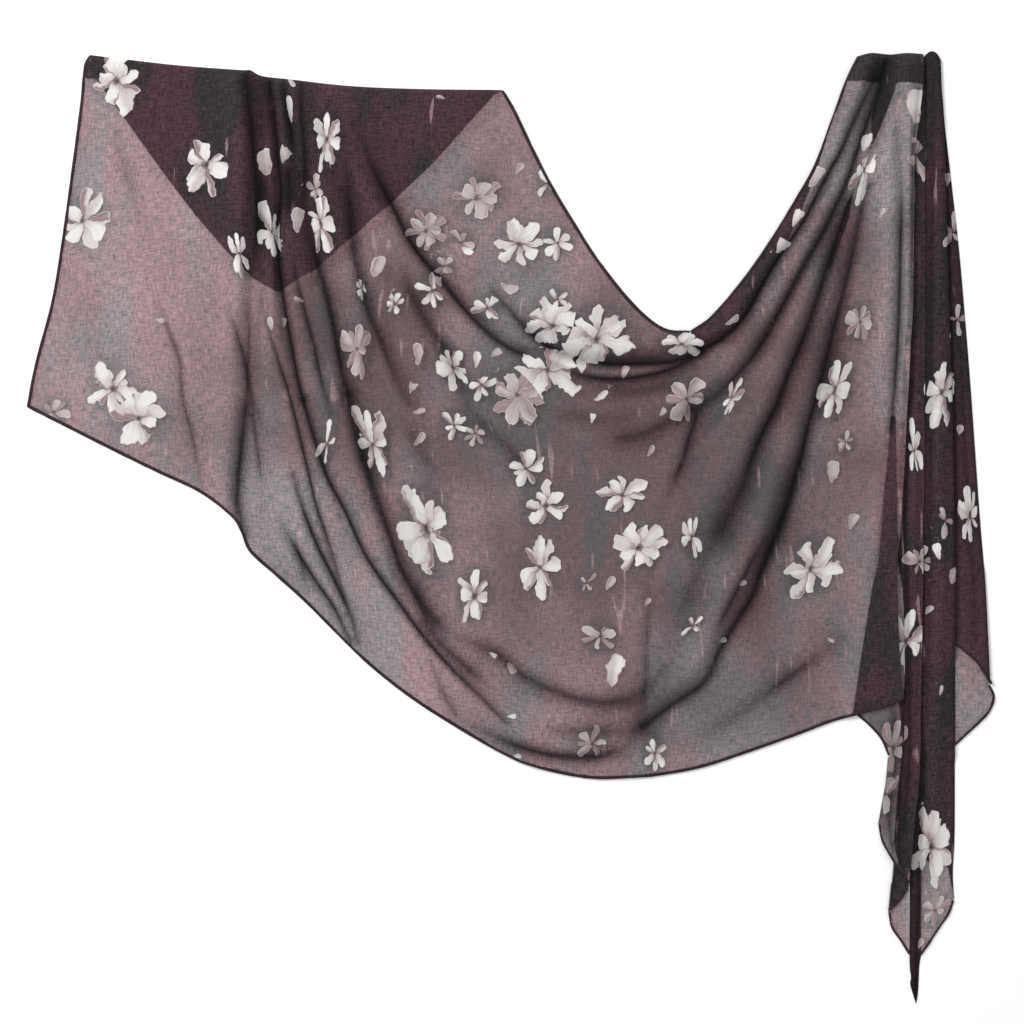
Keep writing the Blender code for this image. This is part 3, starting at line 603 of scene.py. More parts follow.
# The dark dye that was washed round a whole blossom.
washed, takes, gives = new_group("washed_round", {"Local": VECTOR, "Reach": NUMBER}, {"Halo": NUMBER})
axes = parts_of(washed, takes["Local"])
halo = times(washed, ramp(washed, length_of(washed, axes[0], axes[1]), 1.18, 0.6), takes["Reach"])
washed.links.new(times(washed, halo, calc(washed, "GREATER_THAN", axes[2], 2.0)), gives["Halo"])

# The cloth's finish: sheer cotton, dyed in washes, darker where two layers lie together, with painted
# shade in the depth of a fold, partly for the cloth lying thicker there, and a painted highlight on the
# ridges between, printed with the blossoms.
SINGLE_PLUM = (0.335, 0.205, 0.228, 1.0)
SINGLE_CHARCOAL = (0.250, 0.222, 0.228, 1.0)
DEEP_PLUM = (0.112, 0.055, 0.064, 1.0)
DEEP_CHARCOAL = (0.066, 0.056, 0.058, 1.0)
DOUBLE_PLUM = (0.058, 0.027, 0.036, 1.0)
DOUBLE_CHARCOAL = (0.026, 0.023, 0.025, 1.0)
STROKE = (0.42, 0.27, 0.29, 1.0)
CLOTH_ROUGHNESS = 0.88
CLOTH_SHINE = 0.12
CLOTH_SHEEN = 0.04
STROKE_SHARE = 0.5
SLUB_TINT = 0.95        # how much the slubs lighten and darken the dye
SLUB_PLUM = 0.8         # and turn it plum and charcoal
HALO_PLUM = -0.65       # how the washed ring round a blossom loses its plum
HALO_DEPTH = 0.30       # and deepens
SHADE_ON_PRINT = -0.45  # how much less the painted shade of a crease darkens the white print
SLOW_WAVES = (330.0, 290.0)      # rates of the waves in the petals' edges, in radians a metre
QUICK_WAVES = (760.0, 830.0)
SLOW_SIZE = 0.045       # and their sizes, in the blossom's reach
QUICK_SIZE = 0.018


def printed_cloth(name, sheerness):
    """Sheer printed cloth; sheerness is how much a single layer lets through."""
    finish = bpy.data.materials.new(name)
    finish.use_nodes = True
    tree = finish.node_tree
    shader = tree.nodes["Principled BSDF"]
    shader.inputs["Roughness"].default_value = CLOTH_ROUGHNESS
    shader.inputs["Specular IOR Level"].default_value = CLOTH_SHINE
    shader.inputs["Sheen Weight"].default_value = CLOTH_SHEEN
    shader.inputs["Sheen Roughness"].default_value = 0.5

    def read(attribute):
        return wired(tree, "ShaderNodeAttribute", attribute_name=attribute).outputs

    place = read("cloth_place")["Vector"]
    threads = wired(tree, "ShaderNodeGroup", {"Place": place}, node_tree=weave).outputs
    stroke = wired(tree, "ShaderNodeGroup", {"Place": place}, node_tree=wash).outputs["Stroke"]

    # Where the point lies in its blossom, with a wavy edge to the petals.
    axes = parts_of(tree, place)
    sways = [wave(tree, axes[axis], rate) for axis, rate in zip((1, 0), SLOW_WAVES)]
    edge_waves = []
    for axis, rate, sway in zip((1, 0), QUICK_WAVES, sways):
        flutter = calc(tree, "SINE", scaled(tree, axes[axis], rate, times(tree, sways[axis], 2.0)))
        edge_waves.append(scaled(tree, flutter, QUICK_SIZE, times(tree, sway, SLOW_SIZE)))
    first, other = read("blossom_1"), read("blossom_2")
    gaps = []
    for out in (first, other):
        level = parts_of(tree, out["Vector"])
        gaps.append(minus(tree, length_of(tree, level[0], level[1]), times(tree, out["Alpha"], OUTSIDE)))
    nearer = calc(tree, "LESS_THAN", gaps[1], gaps[0])
    local = wired(tree, "ShaderNodeMix", {0: nearer, 4: first["Vector"], 5: other["Vector"]},
                  data_type="VECTOR").outputs[1]
    local = wired(tree, "ShaderNodeVectorMath", {0: local, 1: vector_of(tree, *edge_waves)},
                  operation="ADD").outputs[0]
    reach = calc(tree, "MAXIMUM", first["Alpha"], other["Alpha"])
    halo = wired(tree, "ShaderNodeGroup", {"Local": local, "Reach": reach}, node_tree=washed).outputs["Halo"]

    # The dye, the print over it, and over both the painted shade of the creases and the painted highlight of
    # the ridges.
    plum = times(tree, read("plum")["Fac"], scaled(tree, halo, HALO_PLUM, 1.0))
    plum = scaled(tree, threads["Tint"], SLUB_PLUM, plum)
    depth = calc(tree, "MINIMUM", scaled(tree, halo, HALO_DEPTH, read("dye_depth")["Fac"]), 1.0)
    double = ramp(tree, read("doubled")["Fac"], -0.8, 0.8)
    single = blend(tree, depth, blend(tree, plum, SINGLE_CHARCOAL, SINGLE_PLUM),
                   blend(tree, plum, DEEP_CHARCOAL, DEEP_PLUM))
    colour = blend(tree, double, single, blend(tree, plum, DOUBLE_CHARCOAL, DOUBLE_PLUM))
    colour = blend(tree, times(tree, stroke, STROKE_SHARE), colour, STROKE)
    tint = scaled(tree, threads["Tint"], SLUB_TINT, 1.0)
    colour = blend(tree, 1.0, colour, vector_of(tree, tint, tint, tint), "MULTIPLY")
    blossom = wired(tree, "ShaderNodeGroup", {"Local": local, "Reach": reach, "Under": colour},
                    node_tree=bloom).outputs
    # Painted shade in the creases and painted highlight on the ridges, multiplied into the colour.
    shade = read("fold_shade")["Fac"]
    dark = minus(tree, 1.0, times(tree, shade, scaled(tree, blossom["Cover"], SHADE_ON_PRINT, 1.0)))
    colour = blend(tree, 1.0, blossom["Colour"], vector_of(tree, dark, dark, dark), "MULTIPLY")
    tree.links.new(colour, shader.inputs["Base Color"])
    if sheerness:
        closed = calc(tree, "MAXIMUM", calc(tree, "MAXIMUM", double, blossom["Cover"]), shade)
        open_share = times(tree, sheerness, minus(tree, 1.0, closed))
        tree.links.new(minus(tree, 1.0, open_share), shader.inputs["Alpha"])
    bump = wired(tree, "ShaderNodeBump", {"Height": threads["Height"], "Strength": 0.35, "Distance": 0.0004})
    tree.links.new(bump.outputs["Normal"], shader.inputs["Normal"])
    return finish


SHEERNESS = 0.22
SHEER_CLOTH = printed_cloth("sheer_cloth", SHEERNESS)
DOUBLED_CLOTH = printed_cloth("doubled_cloth", 0.0)

# Broad soft parts of the dye: where it lies deeper, and where it turns plum (over zero) or charcoal.
Wash = namedtuple("Wash", "x y reach amount")
BASE_DEPTH = 0.20       # the dye's depth where no wash deepens it
CLOUDS = 0.27           # how much it wanders
DEEPER = [Wash(*row) for row in [
    (590, 530, 150, 0.72), (430, 400, 110, 0.45), (720, 440, 120, 0.62), (600, 370, 100, 0.35),
    (800, 330, 90, 0.42), (790, 600, 110, 0.42), (640, 710, 60, 0.4), (330, 340, 90, 0.52),
    (100, 210, 90, -0.14), (150, 300, 60, -0.08), (270, 510, 45, -0.25), (400, 655, 60, -0.45),
    (560, 735, 45, -0.28), (885, 190, 40, -0.32), (195, 420, 50, 0.25), (650, 270, 60, 0.32),
    (475, 150, 60, 0.35), (930, 500, 60, 0.3), (270, 420, 50, 0.35), (350, 440, 40, 0.3),
    (400, 240, 50, 0.35), (850, 250, 40, 0.6), (880, 480, 50, 0.32), (800, 700, 60, 0.32),
    (880, 720, 25, 0.55), (540, 200, 50, 0.34), (940, 915, 30, -0.5), (500, 600, 45, 0.25),
    (410, 300, 45, 0.32), (720, 500, 40, 0.15), (905, 220, 20, 0.3), (855, 110, 35, 0.25),
    (300, 330, 40, 0.15), (700, 562, 35, -0.35), (340, 602, 30, -0.35), (560, 730, 40, -0.1),
    (270, 500, 35, -0.12), (585, 540, 35, 0.15)
]]
WARMER = [Wash(*row) for row in [
    (100, 200, 90, 0.7), (170, 330, 80, 0.7), (60, 330, 40, -0.7), (300, 430, 50, -0.6),
    (340, 610, 90, -1.2), (480, 430, 60, -0.6), (560, 600, 130, 0.9), (650, 400, 70, 1.0),
    (540, 320, 50, -0.8), (880, 220, 50, -1.2), (780, 560, 70, 1.0), (740, 710, 60, -0.9),
    (400, 110, 90, 1.0), (170, 120, 40, 0.8), (225, 85, 35, -1.4), (945, 600, 60, 1.2),
    (925, 300, 40, -0.8), (615, 275, 60, 1.2), (350, 440, 30, 1.5), (505, 600, 60, 1.5),
    (870, 480, 40, 1.3), (870, 650, 40, -0.8), (400, 240, 50, 1.2), (540, 200, 50, 1.0),
    (940, 480, 40, 1.2), (800, 700, 40, 0.8), (620, 540, 80, 0.4), (400, 340, 40, 0.8),
    (190, 440, 40, 0.8), (860, 110, 40, -1.2), (880, 720, 30, -1.0), (585, 540, 35, -0.8),
    (770, 400, 50, 0.7), (700, 540, 40, -0.5), (440, 112, 50, 1.4), (560, 730, 40, 0.5),
    (870, 690, 25, 2.0), (285, 450, 30, 1.4), (210, 380, 35, 0.9), (842, 228, 25, 1.8),
    (886, 80, 22, -2.2), (858, 66, 18, -1.6), (930, 95, 40, -1.0), (262, 400, 25, 0.5)
]]


def washes(flat, rows):
    """The sum of broad soft amounts of dye at each point."""
    total = np.zeros(len(flat))
    for row in rows:
        middle = on_plan([(row.x, row.y)])[0]
        total += row.amount * np.exp(-((flat - middle) ** 2).sum(axis=1) / row.reach ** 2)
    return total


SINGLE = -9.0           # how far inside a doubled part a point of single cloth lies, in millimetres
THREAD_SWAY = 9.0       # how far the threads run aside, in millimetres, over the lengths below
SWAY_LENGTHS = (150, 130)        # along the scarf and across it
SEED_STEP = 400         # millimetres between the weaves of two stretches that differ by one in seed
RIDGE_HIGHLIGHT_LIMIT = -0.5     # the strongest painted highlight on a ridge between creases, as a shade under zero
BAND_SHARE = 0.95       # how much the bands of noise turn the cloth plum and charcoal
WARMTH_SHARE = 0.5      # and how much the washes do


def dress(cloth, flat, finish, shade=0.0, doubled=SINGLE, blossoms=(), petals=(), seed=0.0):
    """The cloth's attributes and its finish; shade is the painted shade of its creases, and doubled is how
    far a point lies inside a double part.
    """
    x, y = flat[:, 0], flat[:, 1]
    level = np.zeros(len(flat))
    add_vector(cloth, "cloth_place", np.column_stack([
        x + THREAD_SWAY * np.sin(y / SWAY_LENGTHS[0]), y + THREAD_SWAY * np.sin(x / SWAY_LENGTHS[1]),
        level + seed * SEED_STEP]) * METRE)
    add_value(cloth, "fold_shade", np.clip(level + shade, RIDGE_HIGHLIGHT_LIMIT, 1))
    add_value(cloth, "doubled", level + doubled)
    clouds = soft_noise(flat, 38, 38, seed + 1.5)
    bands = soft_noise(flat, 48, 130, seed + 7.5) + 0.7 * soft_noise(flat, 20, 62, seed + 2.5)
    add_value(cloth, "dye_depth", np.clip(BASE_DEPTH + washes(flat, DEEPER) + CLOUDS * clouds, 0, 1))
    add_value(cloth, "plum", smooth(0.5 + BAND_SHARE * bands + WARMTH_SHARE * washes(flat, WARMER)))
    print_blossoms(cloth, flat, blossoms, petals, seed)
    cloth.data.materials.append(finish)


flap_edges = {
    "flap_top": Edge("fold", [(97, 62), (135, 67), (180, 72), (240, 77), (264, 83), (287, 86), (350, 91.5),
                              (420, 94.5), (494, 95.5)]),
    "flap_inner": Edge("hem", [
        (494, 95.5), (464, 129), (434, 163), (394, 202), (349, 241), (316, 270), (278, 293)]),
    "flap_outer": Edge("hem", [
        (278, 293), (254, 279), (228, 253), (196, 216), (165, 175), (140, 140), (120, 112), (97, 82)]),
    "flap_end": Edge("fold", [(97, 82), (97, 62)]),
}
rim = rim_of("corner_flap", flap_edges)
flap, flat = cloth_mesh("turned_corner", rim, 4.0, lambda p: UNDER_WALL * rounded(p, ["flap_top"]) - 0.2)
dress(flap, flat, DOUBLED_CLOTH, blossoms=BLOSSOMS, petals=PETALS, seed=0.3)
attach(flap, "root")
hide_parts("corner_flap")

# --- The corner's rolled hems ----------------------------------------------------------------
# The cloth's own edge, rolled up twice into a narrow double roll and sewn along its inner side. It
# is a slightly uneven tube along the edge, in the cloth's darker colour. The other stretches' hems
# are made the same way.
HEM_DARK = (0.014, 0.006, 0.009, 1.0)
HEM_LIGHT = (0.034, 0.015, 0.021, 1.0)
TWIST_RATE = 1500.0     # of the roll's slanting ridges along the hem, in radians a metre
TWIST_SLANT = 6.0       # and in radians once round it
TWIST_HIGHLIGHT = 0.18      # how much the ridges get a painted highlight, beside the patches
PATCH_SCALE = 60.0
HEM_SIDES = 10
HEM_TRIM = 0.4          # millimetres that a hem stops short of its edge's two ends
HEM_SWELL = 0.10        # how unevenly it is rolled
HEM_END = 0.8           # the share of its thickness at its very ends
HEM_REACH = 0.56        # from its middle to its side, in its width: it covers the rim of the cloth
HEM_MIDDLE = 1.15       # height of its middle over its underside
HEM_HALF = 1.1          # and from its middle to its top
LOWEST = 0.05           # height of the lowest point over the table

hem_finish = bpy.data.materials.new("rolled_hem")
hem_finish.use_nodes = True
tree = hem_finish.node_tree
shader = tree.nodes["Principled BSDF"]
shader.inputs["Roughness"].default_value = 0.8
shader.inputs["Specular IOR Level"].default_value = 0.3
hem_axes = parts_of(tree, wired(tree, "ShaderNodeAttribute", attribute_name="hem_place").outputs["Vector"])
twist = calc(tree, "SINE", scaled(tree, hem_axes[0], TWIST_RATE, times(tree, hem_axes[1], TWIST_SLANT)))
patchy = cloudy(tree, vector_of(tree, times(tree, hem_axes[0], PATCH_SCALE), hem_axes[1]), 1.0, 3.0)
# The roll is paler on its slanting ridges, a painted highlight, and patchy in tone.
share = scaled(tree, twist, TWIST_HIGHLIGHT, patchy)
tree.links.new(blend(tree, ramp(tree, share, 0.3, 0.85), HEM_DARK, HEM_LIGHT), shader.inputs["Base Color"])
hem_bump = wired(tree, "ShaderNodeBump", {"Height": twist, "Strength": 0.5, "Distance": 0.0003})
tree.links.new(hem_bump.outputs["Normal"], shader.inputs["Normal"])


def rolled_hem(key, low, trim=HEM_TRIM, thick=1.0):
    """The rolled hem along one edge; low gives the height of its underside."""
    line = LINES[key].copy()
    first, last = line[1] - line[0], line[-2] - line[-1]
    line[0] += first / np.linalg.norm(first) * trim
    line[-1] += last / np.linalg.norm(last) * trim
    way = np.gradient(line, axis=0)
    way /= np.linalg.norm(way, axis=1)[:, None]
    inward = np.column_stack([way[:, 1], -way[:, 0]])
    middle = line + inward * HEM_WIDTH / 2
    heights = low(middle)
    along = np.concatenate([[0], np.cumsum(np.linalg.norm(np.diff(line, axis=0), axis=1))])
    corners, places = [], []
    for place, into, height, run in zip(middle, inward, heights, along):
        size = thick * (1 + HEM_SWELL * noise.noise(Vector((run / 9, place[0] / 50, 1.0))))
        end = min(1.0, HEM_END + min(run, along[-1] - run) / 2)
        for i in range(HEM_SIDES):
            angle = 2 * math.pi * i / HEM_SIDES
            x, y = place + into * math.cos(angle) * HEM_WIDTH * HEM_REACH * size * end
            z = height + HEM_MIDDLE * size + math.sin(angle) * HEM_HALF * size * end
            corners.append((x * METRE, y * METRE, max(z, LOWEST) * METRE))
            places.append((run * METRE, i / HEM_SIDES, 0.0))
    faces = []
    for start in range(0, len(corners) - HEM_SIDES, HEM_SIDES):
        for i in range(HEM_SIDES):
            j = (i + 1) % HEM_SIDES
            faces.append((start + i, start + j, start + HEM_SIDES + j, start + HEM_SIDES + i))
    faces.append(tuple(reversed(range(HEM_SIDES))))
    faces.append(tuple(range(len(corners) - HEM_SIDES, len(corners))))
    mesh = bpy.data.meshes.new("roll_" + key)
    mesh.from_pydata(corners, [], faces)
    mesh.shade_smooth()
    hem = bpy.data.objects.new("roll_" + key, mesh)
    scene.collection.objects.link(hem)
    add_vector(hem, "hem_place", np.array(places))
    mesh.materials.append(hem_finish)
    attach(hem, "root")
    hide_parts("hem_" + key.replace("_hem", ""))
    return hem


def flap_low(points):
    """The height of the underside of the corner's hems, which are pressed flat."""
    return np.full(len(points), -0.35)


hems = [rolled_hem(key, flap_low, thick=0.8) for key in ("flap_inner", "flap_outer")]

# --- The end that is turned over the inner gather --------------------------------------------
# A short strip of the cloth, folded down behind the top of the gather. It shows through as a dark
# band.
turned_edges = {
    "turned_top": Edge("fold", [(866, 58.5), (907, 58)]),
    "turned_right": Edge("fold", [(907, 58), (905, 86)]),
    "turned_foot": Edge("fold", [(905, 86), (856, 83)]),
    "turned_left": Edge("fold", [(856, 83), (866, 58.5)]),
}
rim = rim_of("turned_top", turned_edges)
turned, flat = cloth_mesh(
    "turned_end", rim, 2.5, lambda p: UNDER_WALL * rounded(p, ["turned_top", "turned_foot"]) + 0.05)
dress(turned, flat, DOUBLED_CLOTH, doubled=5.0, seed=0.1)
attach(turned, "root")
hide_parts("turned_top")

# --- The tails that fall from the inner gather -----------------------------------------------
# The rest of the scarf falls beside the front in narrow folded stretches, which lie over each
# other: a sheer end at the bottom, the small corner on it, the wide left one, the narrow panel,
# the lobe and the outer fold at the right, and the long main tail on top of them.
# A roll has its height, half its width and its route. A crease has the strength of its painted shade
# (a painted highlight under zero), how soft to the left and to the right of its route, the shares of
# that at its two ends, and the route.
Roll = namedtuple("Roll", "height half_width route")
Crease = namedtuple("Crease", "dark left right start end route")
CREASE_EDGE = 1.3       # how sharply a crease's painted shade ends at its side
CREASE_DEPTH = 1.2      # how much deeper the creases' painted shade is together than their own figures
FADE = 0.3              # the share of its length over which a fold or a crease gains its strength


def rolls(points, rows):
    """How far the soft rolls of a tail raise it."""
    raised = np.zeros(len(points))
    for roll in rows:
        gap, share, _ = beside(points, curve_through(on_plan(roll.route), COARSE_STEP))
        fade = smooth(share / 0.15) * smooth((1 - share) / 0.15)
        raised += roll.height * fade * smooth(1 - gap / roll.half_width)
    return raised


def fading(share, start, end):
    """The strength at a share of a line's length, from what it is at the line's two ends."""
    from_start = start + (1 - start) * smooth(share / FADE)
    from_end = end + (1 - end) * smooth((1 - share) / FADE)
    return np.minimum(from_start, from_end)


def crease_shade(points, creases):
    """The painted shade along the creases, partly for the cloth lying thicker there: one is black, and under
    zero is a painted highlight on a ridge.
    """
    light = np.ones(len(points))
    for crease in creases:
        gap, share, side = beside(points, curve_through(on_plan(crease.route), COARSE_STEP))
        dark = crease.dark * fading(share, crease.start, crease.end)
        light *= 1 - dark * np.exp(-(gap / np.where(side > 0, crease.left, crease.right)) ** CREASE_EDGE)
    return 1 - light ** CREASE_DEPTH


def zone(points, corners):
    """Each point's distance inside a region of the table, negative outside it."""
    outline = on_plan(corners)
    gap = beside(points, outline, closed=True)[0]
    return np.where(inside(points, outline), gap, -gap)


TAIL_BLOSSOMS = [Blossom(*row) for row in [
    (907, 76, 12, 3, 80, 1.0, 0), (915, 156, 10, 3, 92, 3.0, 0), (953, 232, 12, 3, 80, 1.6, 0),
    (940, 392, 17, 4, 80, 2.2, 1), (914, 450, 8, 3, 95, 3.6, 1), (969, 515, 11, 4, 92, 2.6, 1),
    (944, 520, 10, 2, 85, 1.6, 0), (920, 561, 17, 3, 70, 1.0, 0), (906, 640, 16, 3, 80, 2.0, 1),
    (931, 845, 20, 5, 88, 2.0, 1), (934, 910, 14, 4, 60, 1.4, 0), (892, 748, 14, 3, 80, 2.1, 0),
    (885, 792, 13, 2, 85, 2.1, 0), (957, 321, 10, 2, 80, 1.8, 0)
]]
TAIL_PETALS = [Petal(*row) for row in [
    (914, 107, 34, 105, 0), (936, 551, 18, 110, 1), (952, 575, 18, 80, 0), (921, 944, 12, 60, 0),
    (894, 430, 20, 85, 1), (896, 515, 30, 88, 1), (928, 610, 10, 60, 0), (960, 430, 12, 80, 0),
    (947, 180, 14, 80, 0), (940, 690, 10, 70, 0)
]]


EDGE_PAINTED_SHADE = 0.55        # the painted shade of a tail at its folded edges, where it rolls down
EDGE_SOFTNESS = 3.0     # and within how many millimetres


def lay_tail(name, edges, lies_on, node, finish, fold_keys, hem_keys,
             swells=(), creases=(), doubled=6.0, zones=(), seed=0.5, plain=False):
    """One stretch of a tail, with its rolled hems; zones of doubled (1) or single cloth (-1)."""
    rim = rim_of(name, edges)

    def rest(p):
        return rest_height(p, lies_on)

    def height(p):
        top = UNDER_WALL + rolls(p, swells) + crumple(p, 22.0, 0.25)
        top *= 1 - 0.45 * np.clip(crease_shade(p, creases), 0, 1)
        return rest(p) + 0.1 + top * rounded(p, fold_keys)

    def hem_low(p):
        return rest(p) + rolls(p, swells) * 0.9 - 0.2

    cloth, flat = cloth_mesh(name, rim, 2.4, height)
    # Painted shade along the folded edges, over the painted shade of the creases.
    edge_gap = np.min([beside(flat, LINES[key])[0] for key in fold_keys], axis=0)
    light = 1 - EDGE_PAINTED_SHADE * np.exp(-(edge_gap / EDGE_SOFTNESS) ** 1.4)
    shade = 1 - (1 - crease_shade(flat, creases)) * light
    inner = np.full(len(flat), doubled)
    for sign, corners in zones:
        within = zone(flat, corners)
        inner = np.maximum(inner, within) if sign > 0 else np.minimum(inner, -within)
    flowers, drifting = ((), ()) if plain else (TAIL_BLOSSOMS, TAIL_PETALS)
    dress(cloth, flat, finish, shade, inner, flowers, drifting, seed)
    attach(cloth, "root")
    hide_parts(node)
    made = [rolled_hem(key, hem_low, thick=0.85) for key in hem_keys]


lay_tail("sheer_end", {
    "under_top": Edge("fold", [(901, 730), (917.5, 730)]),
    "under_right": Edge("fold", [(917.5, 730), (915, 785), (909.6, 853), (908.6, 955)]),
    "under_hem": Edge("hem", [(908.6, 955), (900, 941), (891, 927.5), (888, 912)]),
    "under_left": Edge("fold", [(888, 912), (890.6, 886), (893, 866), (901, 730)]),
}, [], "tail_under", SHEER_CLOTH, ["under_left"], ["under_hem"],
    doubled=-6.0, plain=True)
lay_tail("small_corner", {
    "corner_top": Edge("fold", [(903, 745), (917, 745)]),
    "corner_right": Edge("fold", [(917, 745), (914.5, 790), (909.4, 853), (908.6, 888)]),
    "corner_hem": Edge("hem", [(908.6, 888), (899, 902), (889, 911)]),
    "corner_left": Edge("fold", [(889, 911), (891, 886), (894, 866), (903, 745)]),
}, ["sheer_end"], "tail_corner", DOUBLED_CLOTH, ["corner_left"], ["corner_hem"],
    plain=True)
lay_tail("left_tail", {
    "left_right": Edge("fold", [
        (893, 418), (895, 457), (895.6, 505), (898, 549), (907, 556), (920.4, 570), (919.4, 690),
        (916.2, 779), (913, 815), (909.8, 853), (908.4, 884)]),
    "left_lobe_hem": Edge("hem", [(908.4, 884), (898, 869.5), (888, 854.5), (881, 840), (878, 824)]),
    "left_side": Edge("fold", [(878, 824), (885, 785), (888, 756)]),
    "left_hem": Edge("hem", [(888, 756), (881, 740), (870, 727), (853, 712)]),
    "left_edge": Edge("fold", [(853, 712), (862, 650), (871, 595), (884, 482), (893, 418)]),
}, ["sheer_end", "small_corner"], "tail_left", SHEER_CLOTH, ["left_side", "left_edge"],
    ["left_lobe_hem", "left_hem"], doubled=-6.0,
    swells=[Roll(1.2, 9.0, [(893, 760), (890, 800), (890, 835)])],
    creases=[
        Crease(0.8, 2.5, 6.0, 0.6, 0.8, [(893, 700), (897, 740), (893, 780), (889, 820), (893, 850)]),
        Crease(0.7, 2.0, 5.0, 0.8, 0.6, [(903, 700), (902, 760), (898, 820), (902, 862)])],
    zones=[(1, [(897, 690), (925, 690), (925, 900), (900, 880), (893, 840), (897, 790), (903, 740)])])
lay_tail("narrow_panel", {
    "panel_top": Edge("fold", [(912, 57), (924.6, 57)]),
    "panel_right": Edge("loose", [
        (924.6, 57), (925, 300), (924.4, 450), (922.8, 560), (920.8, 690), (918, 779), (914.4, 815),
        (911, 853), (909.4, 870)]),
    "panel_foot": Edge("fold", [(908.8, 870), (900, 858)]),
    "panel_left": Edge("fold", [
        (900, 858), (898, 820), (901.5, 765), (904.4, 700), (903, 600), (897, 552), (897, 500),
        (901, 443), (905, 350), (908.6, 300), (910, 185), (912, 57)]),
}, ["sheer_end", "small_corner", "left_tail"], "tail_panel", DOUBLED_CLOTH,
    ["panel_left"], [], seed=0.7,
    swells=[Roll(2.0, 6.5, [(918, 70), (918, 300), (914, 500), (912, 700), (906, 815)])],
    creases=[Crease(0.7, 2.0, 4.0, 0.5, 0.8, [
        (912, 300), (910, 420), (905, 520), (908, 620), (909, 740), (903, 830)])])
lay_tail("lobe", {
    "lobe_top": Edge("fold", [(946, 575), (976, 575)]),
    "lobe_side": Edge("fold", [(976, 575), (983, 640), (990, 684)]),
    "lobe_hem": Edge("hem", [(990, 684), (995, 697), (990.5, 711), (981, 722), (967, 735), (949, 752)]),
    "lobe_under": Edge("fold", [(949, 752), (945, 700), (946, 575)]),
}, [], "tail_lobe", SHEER_CLOTH, ["lobe_side"], ["lobe_hem"],
    doubled=-6.0, plain=True)
lay_tail("outer_fold", {
    "outside_top": Edge("fold", [(935, 62), (938, 62)]),
    "outside": Edge("fold", [
        (938, 62), (942.5, 97), (945, 127), (951, 179), (959, 250), (965, 318), (970, 380), (975, 450),
        (980, 520), (985, 580), (988, 640), (990, 685)]),
    "outside_hem": Edge("hem", [(990, 685), (978, 665.5), (967, 654.5), (954, 644.5)]),
    "outside_tuck": Edge("fold", [(954, 644.5), (946, 638)]),
    "outside_under": Edge("fold", [(946, 638), (943, 450), (940, 250), (935, 62)]),
}, ["lobe"], "tail_outside", DOUBLED_CLOTH, ["outside"], ["outside_hem"],
    seed=0.9, swells=[Roll(3.0, 8.0, [(963, 370), (968, 480), (971, 560), (975, 630)])],
    creases=[
        Crease(0.8, 2.0, 4.5, 0.7, 0.6, [
            (943, 100), (948, 192), (951, 300), (955, 420), (957, 540), (957, 640)]),
        Crease(0.5, 2.0, 5.0, 0.3, 0.5, [(955, 240), (960, 330), (964, 430), (970, 540), (976, 640)])])
lay_tail("main_tail", {
    "main_top": Edge("fold", [(924.4, 56), (930, 51.6), (936, 53), (940.4, 61)]),
    "main_right": Edge("fold", [
        (940.4, 61), (941.5, 90), (943.5, 127), (946, 192), (949, 300), (952, 400), (954.5, 540),
        (954.7, 700), (954.6, 830), (952.8, 873), (954.4, 900)]),
    "main_hem": Edge("hem", [(954.4, 900), (949.5, 914), (939.5, 928.5), (929.6, 944), (921, 956)]),
    "main_tip": Edge("fold", [(921, 956), (919.3, 966), (918, 992), (916, 1004)]),
    "main_left": Edge("fold", [
        (916, 1004), (910.4, 985), (911, 977), (909.5, 959), (909.8, 890), (910.8, 853), (914, 815),
        (917.4, 779), (920.4, 690), (922.4, 560), (924, 450), (924.6, 300), (924.4, 56)]),
}, ["lobe", "outer_fold"], "tail_main", SHEER_CLOTH,
    ["main_top", "main_right", "main_left", "main_tip"], ["main_hem"], seed=0.2,
    swells=[Roll(4.5, 14.0, [(933, 58), (937, 300), (938, 540), (937, 700), (934, 800), (931, 880)])],
    creases=[
        Crease(0.5, 2.0, 6.0, 0.6, 0.6, [(934, 60), (932, 200), (931, 380), (930, 560), (927, 720)]),
        Crease(0.75, 2.5, 5.0, 0.2, 1.0, [(924, 760), (921, 850), (918, 930), (915, 1000)])],
    zones=[(-1, [(921, 862), (938, 858), (948, 868), (951, 885), (960, 900), (950, 925), (921, 962)])])

# --- The front ---------------------------------------------------------------------------------
# One stretch of single cloth from the outer gather over the swag to the inner gather. Its folds
# fan out from the two gathers, and it lies on the turned corner and on the tails.
FRONT_WALL = 1.6        # height of the cloth itself
CREST = 15.0            # height that its folds come close to where they crowd together
EDGE_SHARE = 0.25       # how much of it is left at a hem
EDGE_REACH = 20.0       # millimetres from a hem to where the folds have all of it
PLEAT_ROLL_DOWN = 13.0  # and from a folded edge, where they have none
FINE_CREASE = 5.0       # a crease that is softer than this needs no points of its own

